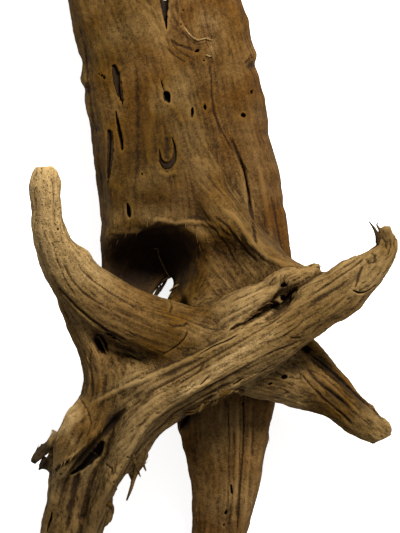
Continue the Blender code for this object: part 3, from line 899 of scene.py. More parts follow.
def depthInHoles(places, uncut):
    # how deep each place lies below the skin that the holes were cut from
    pixels = pixelOf(places)
    near = np.zeros(len(places), bool)
    for middle, size, *_ in pits:
        near |= np.linalg.norm(pixels - middle, axis=1) < max(size) + 3
    for line, *_ in slots:
        line = np.array(line)
        inside = (pixels > line[:, :2].min(axis=0) - 9) & (pixels < line[:, :2].max(axis=0) + 9)
        rows = np.nonzero(inside.all(axis=1))[0]
        distance, _ = alongLine(pixels[rows], line[:, :2])
        near[rows] |= distance < line[:, 2].max() / 2 + 3
    depths = np.zeros(len(places))
    for row in np.nonzero(near)[0]:
        found = uncut.find_nearest(Vector(places[row] / 1000))
        depths[row] = found[3] * 1000
    return depths


# Flat worn ends: a point on the plane and its outward way, and the box that it works in, all in pixels
ends = [
    ((43, 166.6), (-0.08, -1.0), (22, 150, 68, 190)), ((32.5, 172), (-0.85, -0.5), (22, 150, 68, 190)),
    ((56.5, 169.5), (0.62, -0.78), (22, 150, 68, 190)), ((359.5, 441.5), (-0.35, 0.94), (338, 425, 400, 460)),
    ((381, 440), (0.45, 0.9), (338, 425, 400, 460)),
]
wear = {"ragged": 0.3, "raggedScale": 3, "share": 0.9}   # pixels, mm, share of what stands out that goes


# Dents and knobs of the outline: place and reach in pixels, way and depth in mm
dents = [
    ((253, 66), 6, (-1.0, 0.0), 2.2), ((254, 54), 8, (1.0, -0.1), 1.4), ((263, 97), 9, (1.0, 0.2), 1.0),
    ((247, 22), 8, (1.0, 0.0), 1.0), ((267, 132), 7, (-1.0, 0.1), 0.9),
    ((273, 172), 10, (1.0, 0.0), 0.9), ((280, 205), 7, (-1.0, 0.0), 0.8),
    ((82, 79), 6, (-1.0, 0.0), 1.0), ((86, 90), 6, (1.0, 0.0), 1.6), ((89, 112), 7, (-1.0, 0.0), 0.8),
    ((95, 128), 5, (1.0, 0.0), 1.0), ((72, 20), 7, (1.0, 0.0), 1.0), ((100, 176), 7, (1.0, 0.0), 0.9),
    ((78, 52), 6, (-1.0, 0.0), 0.7), ((88, 253), 6, (0.7, -0.7), 1.5), ((76, 238), 6, (-0.8, 0.6), 0.8),
    ((63, 186), 4, (1.0, 0.0), 0.8), ((31, 212), 6, (1.0, 0.0), 0.7),
    ((340, 261), 5, (-0.4, -0.9), 0.9), ((326, 270), 4, (0.4, 0.9), 0.8),
    ((356, 305), 5, (0.4, 0.9), 0.9), ((334, 322), 6, (-0.5, -0.85), 0.9),
    ((302, 404), 6, (-0.4, 0.9), 0.9), ((322, 421), 5, (0.4, -0.9), 0.9),
    ((349, 389), 5, (0.7, -0.7), 0.8), ((371, 409), 4, (0.7, -0.7), 0.9),
    ((178, 440), 6, (1.0, 0.0), 0.9), ((190, 470), 8, (-1.0, 0.0), 0.8),
    ((262, 440), 8, (1.0, 0.0), 0.7), ((46, 480), 6, (-1.0, 0.0), 0.9), ((43, 500), 5, (1.0, 0.0), 0.9),
    ((74, 372), 7, (-1.0, 0.0), 0.8), ((84, 395), 5, (0.8, 0.2), 0.8),
]


def wearEnds(wood):
    places = placesOf(wood)
    pixels = pixelOf(places)
    for middle, reach, way, depth in dents:
        near = np.exp(-((pixels - middle) ** 2).sum(axis=1) / reach ** 2)
        places[:, 0] += way[0] * depth * near
        places[:, 1] -= way[1] * depth * near
    for middle, way, (left, upper, right, lower) in ends:
        pixels = pixelOf(places)
        way = unit(np.array(way))
        out = (pixels - middle) @ way + wear["ragged"] * wobble(places, wear["raggedScale"], 11)
        box = ((pixels > (left, upper)) & (pixels < (right, lower))).all(axis=1)
        push = np.where(box, np.maximum(out, 0), 0) * photo["mmPerPixel"] * wear["share"]
        places[:, 0] -= way[0] * push
        places[:, 1] += way[1] * push
    putPlaces(wood, places)


def thinOut(wood):
    # fewer triangles, with more of them kept on the side that shows
    under = 1 - ramp(normalsOf(wood)[:, 2], *skin["underFade"]) * skin["underShare"]
    steps = skin["thinSteps"]
    group = wood.vertex_groups.new(name="under")
    for level in np.unique(np.round(under * steps)):
        chosen = np.nonzero(np.round(under * steps) == level)[0]
        group.add(chosen.tolist(), float(level) / steps, "REPLACE")
    wood.data.calc_loop_triangles()
    have = len(wood.data.loop_triangles)
    decimate = wood.modifiers.new("thin", "DECIMATE")
    decimate.ratio = skin["triangles"] / have
    decimate.use_collapse_triangulate = True
    decimate.vertex_group = group.name
    decimate.vertex_group_factor = skin["thinWeight"]
    baked(wood)
    log(f"thinned {have} to {len(wood.data.polygons)} triangles")


def keepInside(piece):
    low, high = (np.array(corner) * 1000 for corner in cadBox)
    putPlaces(piece, np.clip(placesOf(piece), low, high))


# How open each place is: rays go out from it over a grid of filled cells. The colour is darkened where few
# get out, as painted shade
shade = {
    "cell": 2.5,
    "directions": 44,
    "start": 1.5,            # above the surface
    "grazing": 0.05,         # a ray closer to the surface than this doesn't count
    "steps": (4.5, 6.5, 9, 12, 15.5, 20, 25, 31, 38, 46, 56),
    "smoothing": 3,
    "hollow": (-26, 2),      # x and y of the hollow, which keeps all of its shade
    "hollowReach": (60, 40),
    "elsewhere": 0.62,       # share of its shade that any other place keeps
}


def solidCells(places):
    # cells of a coarse grid that the wood fills, from points that cover its whole skin
    cell = shade["cell"]
    low = places.min(axis=0) - 3 * cell
    count = np.ceil((places.max(axis=0) + 3 * cell - low) / cell).astype(int)
    shell = np.zeros(count, bool)
    index = ((places - low) / cell).astype(int)
    shell[index[:, 0], index[:, 1], index[:, 2]] = True
    outside = np.zeros(count, bool)
    outside[0], outside[-1] = True, True
    outside[:, 0], outside[:, -1] = True, True
    outside[:, :, 0], outside[:, :, -1] = True, True
    empty = ~shell
    before = 0
    while outside.sum() != before:
        before = outside.sum()
        for axis in range(3):
            ahead = [slice(None)] * 3
            behind = [slice(None)] * 3
            ahead[axis], behind[axis] = slice(1, None), slice(None, -1)
            outside[tuple(ahead)] |= outside[tuple(behind)] & empty[tuple(ahead)]
            outside[tuple(behind)] |= outside[tuple(ahead)] & empty[tuple(behind)]
    return ~outside, low


def opennessOf(places, normals, solid, low):
    # share of the rays from each place that meet no wood
    cell = shade["cell"]
    k = np.arange(shade["directions"]) + 0.5
    height = 1 - 2 * k / shade["directions"]
    turn = k * math.pi * (1 + 5**0.5)
    around = np.sqrt(1 - height**2)
    directions = np.column_stack([np.cos(turn) * around, np.sin(turn) * around, height])
    free = np.zeros(len(places))
    total = np.zeros(len(places))
    limit = np.array(solid.shape) - 1
    base = places + normals * shade["start"] - low
    for direction in directions:
        weight = normals @ direction
        rows = np.nonzero(weight > shade["grazing"])[0]
        hit = np.zeros(len(rows), bool)
        for step in shade["steps"]:
            index = ((base[rows] + direction * step) / cell).astype(int)
            index = np.clip(index, 0, limit)
            hit |= solid[index[:, 0], index[:, 1], index[:, 2]]
        free[rows] += weight[rows] * ~hit
        total[rows] += weight[rows]
    return free / np.maximum(total, 1e-6)


# What the wood's colour needs to know

# Paler (plus) and browner (minus) stretches, of one limb or of all, and the pixels that each fades in over
tones = [
    (0.50, "horn", ("y", 320, 225), ("x", 130, 90)),
    (0.22, "wideStem", ("y", 200, 222), ("y", 240, 228), ("x", 125, 155)),
    (0.08, "wideStem", ("y", 140, 60)),
    (-0.13, "beak", ("x", 250, 300)),
    (0.05, None, ("y", 380, 420), ("x", 160, 130)),
    (-0.26, "horn", ("y", 265, 310), ("x", 230, 190)),
    (-0.04, "horn", ("y", 225, 250)),
    (-0.32, "horn", ("x", 285, 320)),
    (0.40, "horn", ("x", 345, 385)),
    (-0.10, None, ("y", 450, 490), ("x", 130, 100)),
    (0.06, None, ("y", 395, 410), ("x", 180, 195)),
]
hornTip = tones[0][1:]       # it has pores, and no red

# Painted shade in the hollow under the lip: its heart in mm, the hollow in pixels with the heights that it
# fades over; and the darker stubs, partly their own dark wood and partly painted shade
shadeAndStubs = {
    "heart": (-34, 4, 52), "heartReach": (42, 22, 24),
    "hollow": (141, 263), "hollowReach": (56, 38), "hollowHeights": (78, 60), "hollowShade": 0.76,
    "stubs": (("x", 52, 46), ("y", 436, 442), ("y", 478, 472)), "stubDark": 0.95,
}

# Darker and paler places: middle and reach in pixels, turn in degrees, how much paler, how dark. Most darker
# ones paint shade into pockets, crevices, grooves and holes, and the shadow below the flap and under the
# crossing; a few broad faint ones darken the trunk and the lower left leg. The long paler streaks on the
# crossing's ridge are painted highlights, and the broad paler patches on the flap and the right leg paint
# light over shaded wood.
patches = [
    ((357, 276), (8, 5), -50, 0.0, 0.50), ((388, 240), (9, 7), 70, 0.0, 0.34),
    ((373, 258), (5, 4), 0, 0.0, 0.30), ((283, 284), (10, 5), -60, 0.0, 0.62),
    ((264, 310), (14, 6), -35, 0.0, 0.42), ((272, 282), (10, 5), -25, 0.0, 0.25),
    ((112, 421), (17, 8), -62, 0.0, 0.84), ((88, 456), (22, 9), -48, 0.0, 0.84),
    ((48, 388), (10, 5), -40, 0.0, 0.45), ((297, 369), (11, 5), -10, 0.0, 0.48),
    ((344, 385), (52, 4), 46, 0.0, 0.72), ((330, 391), (30, 4), 42, 0.0, 0.45),
    ((68, 502), (30, 9), -78, 0.0, 0.42), ((345, 257), (34, 3), -28, 0.0, 0.42),
    ((168, 165), (8, 5), 0, 0.0, 0.5), ((188, 417), (16, 9), -58, 0.0, 0.92),
    ((116, 80), (20, 5), 80, 0.0, 0.4), ((109, 155), (30, 5), 90, 0.0, 0.45),
    ((297, 297), (6, 4), -40, 0.0, 0.3), ((262, 258), (16, 4), 42, 0.10, 0.0),
    ((206, 20), (16, 10), 30, 0.12, 0.0), ((213, 50), (5, 12), 0, 0.2, 0.0),
    ((150, 212), (34, 8), -8, 0.06, 0.0), ((160, 168), (62, 76), 0, 0.0, 0.17),
    ((262, 165), (24, 110), -8, 0.0, 0.2), ((225, 272), (26, 26), 0, 0.10, 0.0),
    ((115, 318), (40, 14), 25, 0.0, 0.12), ((104, 338), (12, 6), 30, 0.0, 0.45),
    ((134, 352), (22, 6), 28, 0.10, 0.14), ((92, 395), (16, 10), 60, 0.0, 0.25),
    ((204, 380), (52, 5), -31, 0.46, 0.0), ((240, 352), (40, 5), -31, 0.40, 0.0),
    ((196, 330), (20, 14), 0, 0.12, 0.0), ((60, 418), (28, 18), -50, 0.60, 0.0),
    ((106, 392), (30, 5), -32, 0.14, 0.0), ((233, 317), (24, 8), -50, 0.16, 0.0),
    ((104, 470), (36, 4), -58, 0.18, 0.0), ((255, 290), (22, 6), -28, 0.12, 0.0),
    ((84, 500), (38, 9), -76, 0.0, 0.30), ((205, 425), (30, 42), 0, 0.09, 0.0),
    ((52, 433), (7, 7), 0, 0.0, 0.62),
]

# What the other facts go by
surface = {
    "fine": (4, 0.25),       # rounds of smoothing, and the height in mm that counts as all
    "broad": (40, 1.2),
    "fraying": {"start": 0.25, "heights": (0.1, 0.8), "less": 0.15},
    "uneven": {"bleachAndHighlight": (0.05, 9, 37), "red": (0.28, 13, 31), "patch": (0.25, 3, 41)},   # share, mm, seed
    "tipRed": 0.5,           # what the horn's tip has less of
    "patchEdge": (1.15, 0.45),
}


def fade(pixels, share, limb, *bands):
    amount = limbOnly(share, limb) if limb else 1.0
    for axis, start, full in bands:
        amount = amount * ramp(pixels[:, "xy".index(axis)], start, full)
    return amount


def limbOnly(share, name):
    return share[:, list(limbs).index(name)]


def addGrainFacts(wood, reach, coordinates):
    # each triangle takes its grain from one pair of limbs, so the coordinates are kept at its corners
    corners = readRows(wood.data.loops, "vertex_index", 1, np.int32).ravel()
    order = np.argsort(reach[corners.reshape(-1, 3)].mean(axis=1), axis=1)
    first = np.repeat(order[:, 0], 3)
    second = np.repeat(order[:, 1], 3)
    gap = reach[corners, second] - reach[corners, first]
    addAttribute(wood, "grainOne", coordinates[corners, first], "CORNER")
    addAttribute(wood, "grainTwo", coordinates[corners, second], "CORNER")
    addAttribute(wood, "grainMix", 1 - ramp(gap, -skin["grainBlend"], skin["grainBlend"]), "CORNER")


def heightOver(places, normals, edges, rounds):
    # how far each place stands out of its surroundings
    return ((places - smoothed(places, edges, rounds)) * normals).sum(axis=1)


def uneven(places, name):
    share, scale, seed = surface["uneven"][name]
    return share * wobble(places, scale, seed)


def openPlaces(places, normals, edges, densePlaces):
    solid, low = solidCells(densePlaces)
    openness = opennessOf(places, normals, solid, low)
    openness = smoothed(openness[:, None], edges, shade["smoothing"])[:, 0]
    away = np.linalg.norm(places[:, :2] - shade["hollow"], axis=1)
    kept = shade["elsewhere"] + (1 - shade["elsewhere"]) * ramp(away, *shade["hollowReach"])
    return 1 - (1 - openness) * kept


# painted shade in the hollow, strongest where it is closed and low, and the darker stubs
def shadeAndStubsOf(places, pixels, openness):
    heart = np.linalg.norm((places - shadeAndStubs["heart"]) / shadeAndStubs["heartReach"], axis=1)
    hollow = np.linalg.norm((pixels - shadeAndStubs["hollow"]) / shadeAndStubs["hollowReach"], axis=1)
    stainAndShade = ramp(heart, 1.25, 0.7) * ramp(openness, 0.8, 0.45)
    deep = ramp(hollow, 1.1, 0.75) * ramp(places[:, 2], *shadeAndStubs["hollowHeights"])
    stubs = fade(pixels, None, None, *shadeAndStubs["stubs"])
    return np.maximum(np.maximum(stainAndShade, shadeAndStubs["hollowShade"] * deep), shadeAndStubs["stubDark"] * stubs)


def addSurfaceFacts(wood, frames, densePlaces, uncut):
    places = placesOf(wood)
    pixels = pixelOf(places)
    normals = normalsOf(wood)
    edges = edgesOf(wood)
    reach, coordinates, ways = grainOf(places, frames)
    addGrainFacts(wood, reach, coordinates)
    heights = {}
    for name in ("fine", "broad"):
        rounds, full = surface[name]
        heights[name] = heightOver(places, normals, edges, rounds)
        addAttribute(wood, "edge" + name.capitalize(), np.clip(heights[name] / full, -1, 1))
    openness = openPlaces(places, normals, edges, densePlaces)
    addAttribute(wood, "openness", openness)
    addAttribute(wood, "sunk", depthInHoles(places, uncut))
    addAttribute(wood, "carved", markHeights(places, normals))

    # where loose fibres stand up, and their way
    share = limbShare(reach)
    worn = limbValue(share, "fibre") * ramp(normals[:, 2], 0.1, 0.6) * ramp(openness, 0.25, 0.6)
    fraying = surface["fraying"]
    worn = worn * (fraying["start"] + ramp(heights["broad"], *fraying["heights"])) - fraying["less"]
    addAttribute(wood, "frayed", np.clip(worn, 0, 1))
    addAttribute(wood, "grainWay", unit((ways * share[:, :, None]).sum(axis=1)))

    # how pale the wood is: its own bleaching, with the painted highlights and painted light of the patches
    # below
    bleachAndHighlight = limbValue(share, "bleachAndHighlight") + uneven(places, "bleachAndHighlight")
    for paler, limb, *bands in tones:
        bleachAndHighlight = bleachAndHighlight + paler * fade(pixels, share, limb, *bands)
    tip = fade(pixels, share, *hornTip)
    red = limbValue(share, "red") + uneven(places, "red") - surface["tipRed"] * tip
    stainAndShade = shadeAndStubsOf(places, pixels, openness)
    ragged = 1 + uneven(places, "patch")
    # most darker patches add painted shade and shadow; the paler ones on the ridge, flap and right leg add
    # painted highlights and painted light
    for middle, (along, across), turn, paler, darker in patches:
        angle = math.radians(turn)
        x, y = (pixels - middle).T
        one = (x * math.cos(angle) + y * math.sin(angle)) / along
        two = (y * math.cos(angle) - x * math.sin(angle)) / across
        inside = ramp(np.hypot(one, two) * ragged, *surface["patchEdge"]) * ramp(normals[:, 2], -0.1, 0.2)
        stainAndShade = np.maximum(stainAndShade, darker * inside)
        bleachAndHighlight = bleachAndHighlight + paler * inside
    addAttribute(wood, "bleachAndHighlight", np.clip(bleachAndHighlight, 0, 1))
    addAttribute(wood, "red", np.clip(red, 0, 1))
    addAttribute(wood, "pore", np.clip(tip, 0, 1))
    # stains together with painted shade and painted shadow
    addAttribute(wood, "stainAndShade", stainAndShade)


# The wood's colours, and what they and the fine bumps are made of
paint = {
    "brownDark": (0.019, 0.0088, 0.0013, 1), "brownLight": (0.108, 0.0530, 0.0068, 1),
    "redDark": (0.025, 0.0092, 0.0013, 1), "redLight": (0.140, 0.0580, 0.0082, 1),
    "paleDark": (0.110, 0.0590, 0.0165, 1), "paleLight": (0.480, 0.3250, 0.1400, 1),
    # the dark colour that all darkening mixes to: flecks, pores and stains, and the painted shade and shadow
    "stainAndShade": (0.0175, 0.0115, 0.0082, 1),
    "tone": {"Fibre": 0.24, "Streak": 0.08, "Mottle": 0.22, "Speck": 0.18, "Grit": 0.28},
    "toneRange": (0.41, 0.59),
    # raised places are painted lighter and sunk ones darker: painted highlight and painted shade
    "edges": {"edgeFine": 0.30, "edgeBroad": 0.28, "carved": 0.28},
    "goldSpecks": 0.30,
    "bleachPatches": 0.13,
    "clouds": (26.0, 3.0, 0.55),                   # of the bleach: scale, detail, roughness
    "mottle": (520.0, 4.0, 0.7, 0.3),              # and distortion
    "specks": (1500.0, 2.0, 0.6),
    "poreScale": 520.0,
    "fleckDark": (0.55, 0.14),                     # more on bleached wood, and this much on any
    "poreDark": 0.62,
    # painted shade: grooves, the cut holes by their depth, and closed places are darkened
    "creases": {"edgeFine": (-0.3, -1.0, 0.0, 0.5), "carved": (-0.4, -2.4, 0.0, 0.75)},
    "holeShade": (0.3, 3.5, 0.0, 0.97),                # two depths in mm, and how dark each is
    "closed": (0.55, 0.12, 0.0, 0.72),
    "stainAndShadeStrength": 0.93,
    "roughness": (0.72, 0.95),
    "specular": 0.06,
    "bumps": {"Thread": 0.55, "Fibre": 0.65, "Speck": 0.42, "Mottle": 0.45, "Fleck": -0.25, "Pores": -0.45},
    "bumpDistance": 0.00115,
}

# Noises along the grain: stretch, scale, detail, roughness, distortion
grainNoises = {
    "Fibre": (0.18, 1.35, 5.0, 0.7, 0.3),
    "Streak": (0.06, 0.25, 4.0, 0.6, 0.4),
    "Fleck": (0.28, 1.30, 2.0, 0.5, 0.5),
    "Thread": (0.07, 1.3, 3.0, 0.6, 0.2),
    "Grit": (0.42, 1.3, 3.0, 0.65, 0.2),
}


def grainGroup():
    inputs = [("Coordinate", "NodeSocketVector", None)]
    outputs = [(name, "NodeSocketFloat") for name in grainNoises]
    tree, given, result = newTree("woodGrain", "ShaderNodeTree", inputs, outputs)
    for name, (along, *noise) in grainNoises.items():
        value = addNoise(tree, stretched(tree, given["Coordinate"], along), *noise)
        if name == "Fleck":
            value = addRange(tree, value, 0.56, 0.70)
        tree.links.new(value, result[name])
    return tree


def fact(tree, name, output="Fac"):
    # one of the surface facts above
    node = addNode(tree, "ShaderNodeAttribute", attribute_type="GEOMETRY", attribute_name=name)
    return node.outputs[output]


def rootWood():
    material = bpy.data.materials.new("dryRootWood")
    material.use_nodes = True
    tree = material.node_tree
    shader = tree.nodes["Principled BSDF"]
    group = grainGroup()
    pair = []
    for name in ("grainOne", "grainTwo"):
        grain = addNode(tree, "ShaderNodeGroup", node_tree=group)
        tree.links.new(fact(tree, name, "Vector"), grain.inputs[0])
        pair.append(grain.outputs)
    mix = fact(tree, "grainMix")
    parts = {name: addMix(tree, "FLOAT", mix, pair[0][name], pair[1][name]) for name in grainNoises}
    here = addNode(tree, "ShaderNodeTexCoord").outputs["Object"]
    cloud = addNoise(tree, here, *paint["clouds"])
    parts["Mottle"] = addNoise(tree, here, *paint["mottle"])
    parts["Speck"] = addNoise(tree, here, *paint["specks"])
    cells = addNode(tree, "ShaderNodeTexVoronoi", {"Vector": here, "Scale": paint["poreScale"]})
    pores = addRange(tree, cells.outputs["Distance"], 0.10, 0.34, 1.0, 0.0, True)
    parts["Pores"] = addMath(tree, "MULTIPLY", pores, fact(tree, "pore"))
    edges = {name: fact(tree, name) for name in paint["edges"]}

    tone = addRange(tree, weighted(tree, parts, paint["tone"]), *paint["toneRange"])
    # painted highlight on raised places and painted shade in sunk ones
    tone = addMath(tree, "ADD", tone, weighted(tree, edges, paint["edges"]))
    tone = addMath(tree, "ADD", tone, addRange(tree, parts["Speck"], 0.58, 0.70, 0.0, paint["goldSpecks"]))
    tone = addNode(tree, "ShaderNodeClamp", {0: tone}).outputs[0]

    spread = paint["bleachPatches"]
    bleachAndHighlight = addMath(tree, "ADD", fact(tree, "bleachAndHighlight"), addRange(tree, cloud, 0.35, 0.65, -spread, spread))
    bleachAndHighlight = addNode(tree, "ShaderNodeClamp", {0: bleachAndHighlight}).outputs[0]
    red = fact(tree, "red")
    colours = []
    for name in ("Dark", "Light"):
        colour = addMix(tree, "RGBA", red, paint["brown" + name], paint["red" + name])
        colours.append(addMix(tree, "RGBA", bleachAndHighlight, colour, paint["pale" + name]))
    colour = addMix(tree, "RGBA", tone, *colours)

    # dark flecks, pores on the horn's tip, painted shade in grooves, holes and closed places, and the stains
    # with painted shade and shadow
    fleckDark = addMath(tree, "MULTIPLY_ADD", bleachAndHighlight, *paint["fleckDark"])
    darks = [addMath(tree, "MULTIPLY", parts["Fleck"], fleckDark),
             addMath(tree, "MULTIPLY", parts["Pores"], paint["poreDark"])]
    darks += [addRange(tree, edges[name], *limits) for name, limits in paint["creases"].items()]
    darks.append(addRange(tree, fact(tree, "sunk"), *paint["holeShade"]))
    dark = darks[0]
    for other in darks[1:]:
        dark = addMath(tree, "MAXIMUM", dark, other)
    closed = addRange(tree, fact(tree, "openness"), *paint["closed"], True)
    clean, airy = (addMath(tree, "SUBTRACT", 1.0, value) for value in (dark, closed))
    dark = addMath(tree, "SUBTRACT", 1.0, addMath(tree, "MULTIPLY", clean, airy))
    stainAndShade = addMath(tree, "MULTIPLY", fact(tree, "stainAndShade"), paint["stainAndShadeStrength"])
    dark = addMath(tree, "MAXIMUM", dark, stainAndShade)
    tree.links.new(addMix(tree, "RGBA", dark, colour, paint["stainAndShade"]), shader.inputs["Base Color"])
    tree.links.new(addRange(tree, tone, 0.0, 1.0, *paint["roughness"]), shader.inputs["Roughness"])
    shader.inputs["Specular IOR Level"].default_value = paint["specular"]

    bumps = {"Distance": paint["bumpDistance"], "Height": weighted(tree, parts, paint["bumps"])}
    tree.links.new(addNode(tree, "ShaderNodeBump", bumps).outputs[0], shader.inputs["Normal"])
    return material


# Splinters: how pale, how dark, then pixel x, y, height over the wood and radius in mm. One marked True
# follows the wood below it all the way.
strands = [
    (0.1, 0.80, [(378.5, 243, -3, 1.9), (377.6, 236, -2, 1.5), (375, 230, -1.5, 1.0),
                 (368.5, 220.8, -1, 0.25)]),
    (0.3, 0.45, [(381.5, 233, -3, 1.3), (379, 228.5, -2, 0.8), (376.8, 224.2, -1.5, 0.45),
                 (379.6, 222.4, -1, 0.2)]),
    (0.4, 0.20, [(389, 236, -4, 1.8), (393, 238.5, -3, 1.4), (395.5, 242, -3, 0.8)]),
    (0.6, 0.00, [(153.5, 249.5, -0.6, 0.4), (157.5, 248.5, 1.2, 0.5), (158.6, 255, 1.8, 0.4),
                 (162, 263, 1.8, 0.4), (167, 273, 1.2, 0.5), (170, 278, -0.6, 0.5)], True),
    (0.6, 0.00, [(170, 291, -3, 0.6), (175, 286.5, 0, 0.5), (181, 283.5, 1, 0.45), (187.5, 280, 1, 0.3)]),
    (0.15, 0.30, [(143, 448, -6, 2.6), (140, 458, -7, 2.9), (137.5, 467, -8, 2.4), (134.5, 477, -9, 1.3),
                  (130.5, 490, -9, 1.0), (126.6, 500.5, -10, 0.5)]),
    (0.2, 0.20, [(138, 456, -6, 1.2), (142.5, 463, -5, 1.0), (146, 471, -5, 0.4)]),
    (0.1, 0.45, [(133, 455, -6, 1.3), (136, 466, -5, 1.1), (140.5, 477, -5, 0.3)]),
    (0.15, 0.30, [(108, 468, -6, 2.4), (112.5, 478, -6, 1.8), (116.6, 490, -7, 0.5)]),
    (0.1, 0.30, [(107, 502, -6, 2.0), (111.9, 507, -6, 1.4), (113.3, 514, -6, 0.4)]),
    (0.6, 0.00, [(184, 27, -0.5, 0.5), (190, 35, 0.2, 0.6), (198, 40, 0.5, 0.6), (206, 38.5, 0.8, 0.5),
                 (212.5, 40, 1.4, 0.2)], True),
    (0.7, 0.00, [(206, 54.5, -0.4, 0.5), (209.5, 56.5, 0.4, 0.6), (212.5, 55.5, 1.0, 0.2)], True),
    (0.2, 0.15, [(98, 336, -0.5, 0.8), (101.5, 341, 0, 0.7), (104.5, 347.5, 0.2, 0.5),
                 (107, 354, -0.5, 0.6)], True),
    (0.3, 0.10, [(40, 396, -1.5, 0.8), (45, 389, 0.3, 1.3), (52, 385, 0.6, 1.2), (59, 386, -0.2, 0.9),
                 (64, 391, -1, 0.4)], True),
    (0.1, 0.50, [(41, 402, -1.5, 0.8), (47, 395, 0.0, 1.1), (54, 391, 0.3, 1.0), (60, 393, -0.6, 0.5)], True),
    (0.2, 0.20, [(46, 392, 0.0, 0.6), (50, 397, 0.6, 0.7), (55, 398, 0.2, 0.4)], True),
    # the dark stubs: partly their own dark wood, partly painted shade
    (0.0, 0.85, [(44, 450, -3, 2.0), (37, 455, -3, 1.6), (31.5, 462, -3.5, 0.6)]),
    (0.0, 0.85, [(46, 457, -4, 1.8), (42, 464, -4, 1.5), (39, 470, -4.5, 0.5)]),
]

# Fringes of torn fibres along a line of pixels: their way, how many, their lengths and radius in mm
fringes = {
    "underCrossing": ([(242, 391), (228, 393), (214, 400), (202, 407), (193, 412)],
                      (-0.90, 0.44), 30, (3.0, 8.0), 0.8),
    "webHole": ([(104, 334), (116, 339), (132, 352), (142, 360)], (0.95, 0.3), 8, (2.0, 5.0), 0.4),
    "throughHole": ([(158, 292), (163, 284), (169, 279)], (-0.5, 0.87), 9, (4.0, 9.0), 1.0),
    "flapTop": ([(40, 398), (46, 388), (54, 382), (61, 384)], (0.5, 0.86), 16, (2.5, 6.0), 0.6),
    "crossingHole": ([(272, 281), (280, 277), (288, 279), (292, 286)], (-0.4, 0.92), 12, (2.0, 4.5), 0.6),
    "crossingEdge": ([(228, 329), (244, 321), (258, 313), (270, 305)], (-0.95, 0.3), 9, (2.0, 5.0), 0.5),
    "finRoot": ([(286, 365), (296, 362), (306, 362)], (0.8, 0.6), 6, (1.5, 3.5), 0.5),
    "leftLegEdge": ([(118, 458), (108, 474), (101, 492)], (0.05, 1.0), 8, (1.5, 4.5), 0.5),
}

# How the fringes are drawn. Those that differ from the plain look have their values under their own name.
fringeLook = {
    "plain": {"spread": 0.25, "sizes": (0.6, 1.2), "dark": 0.0, "lying": True,
              "beside": 1.5, "bend": 0.12, "heights": (-0.6, 0.2, 0.5), "taper": (0.8, 0.25)},
    "underCrossing": {"spread": 0.42, "sizes": (0.5, 1.9), "lying": False},
    "throughHole": {"dark": 0.55, "lying": False},
}

splinters = {"Sides": 6, "Thickness": 1.0}
rods = {
    "step": 1.2,             # mm between the rings of a splinter
    "lowestRoot": 5,         # below this there is only ground
    "sink": 6,               # how far a lying one may sink below its root
    "grainApart": 7.0,
    "thinnest": 0.1,
}


def fringeStrands():
    noise = np.random.default_rng(21)
    made = []
    for name, (line, way, count, lengths, radius) in fringes.items():
        look = {**fringeLook["plain"], **fringeLook.get(name, {})}
        rows, _ = curveThrough([(x, y, 0) for x, y in line], 1.0)
        for spot in rows[np.linspace(0, len(rows) - 1, count).astype(int), :2]:
            spot = spot + noise.uniform(-look["beside"], look["beside"], 2)
            turn = noise.normal(0, look["spread"])
            aim = np.array([way[0] * math.cos(turn) - way[1] * math.sin(turn),
                            way[0] * math.sin(turn) + way[1] * math.cos(turn)])
            reach = noise.uniform(*lengths) / photo["mmPerPixel"]
            size = radius * noise.uniform(*look["sizes"])
            bend = noise.normal(0, look["bend"], 2)
            root, middle, tip = look["heights"]
            thick, thin = look["taper"]
            path = [(*(spot - aim * look["beside"]), root, size),
                    (*(spot + aim * reach * 0.5), middle, size * thick),
                    (*(spot + (aim + bend) * reach), tip, size * thin)]
            pale = noise.uniform(0.0, 0.35)
            made.append((pale, look["dark"] + noise.uniform(0.0, 0.4), path, look["lying"]))
    return made


def strandTree():
    # a round rod with closed ends along each line, as thick as its radius in mm
    tree, given, result = newModifierTree("splinterStrands", splinters)
    curve = addNode(tree, "GeometryNodeMeshToCurve", {"Mesh": given["Geometry"]})
    ring = addNode(tree, "GeometryNodeCurvePrimitiveCircle", {"Resolution": given["Sides"], "Radius": 0.001})
    size = addMath(tree, "MULTIPLY", namedValue(tree, "radius"), given["Thickness"])
    inputs = {"Curve": curve.outputs[0], "Profile Curve": ring.outputs[0], "Scale": size, "Fill Caps": True}
    swept = addNode(tree, "GeometryNodeCurveToMesh", inputs)
    return endTree(tree, swept.outputs[0], given, result)


# Raised fibres: how many in a square metre, lengths in metres, how far they lift off the grain's way
fibres = {"Density": 60000.0, "Length": 0.0048, "Radius": 0.0003, "Lift": 0.08, "Seed": 5}


def fibreTree():
    tree, given, result = newModifierTree("raisedFibres", fibres)
    density = addMath(tree, "MULTIPLY", namedValue(tree, "frayed"), given["Density"])
    inputs = {"Mesh": given["Geometry"], "Density": density, "Seed": given["Seed"]}
    spread = addNode(tree, "GeometryNodeDistributePointsOnFaces", inputs)
    lifted = addVectorMath(tree, "SCALE", spread.outputs["Normal"], given["Lift"])
    aim = addVectorMath(tree, "ADD", namedValue(tree, "grainWay", "FLOAT_VECTOR"), lifted)
    turn = addNode(tree, "FunctionNodeAlignRotationToVector", {"Vector": aim}, axis="Z")
    inputs = {"Vertices": 4, "Side Segments": 2, "Radius Top": 0.0, "Radius Bottom": given["Radius"],
              "Depth": given["Length"]}
    cone = addNode(tree, "GeometryNodeMeshCone", inputs)
    inputs = {2: 0.45, 3: 1.4, "Seed": given["Seed"]}
    size = addNode(tree, "FunctionNodeRandomValue", inputs, data_type="FLOAT")
    inputs = {"Points": spread.outputs["Points"], "Instance": cone.outputs["Mesh"],
              "Rotation": turn.outputs[0], "Scale": size.outputs[1]}
    placed = addNode(tree, "GeometryNodeInstanceOnPoints", inputs)
    return endTree(tree, placed.outputs[0], given, result)


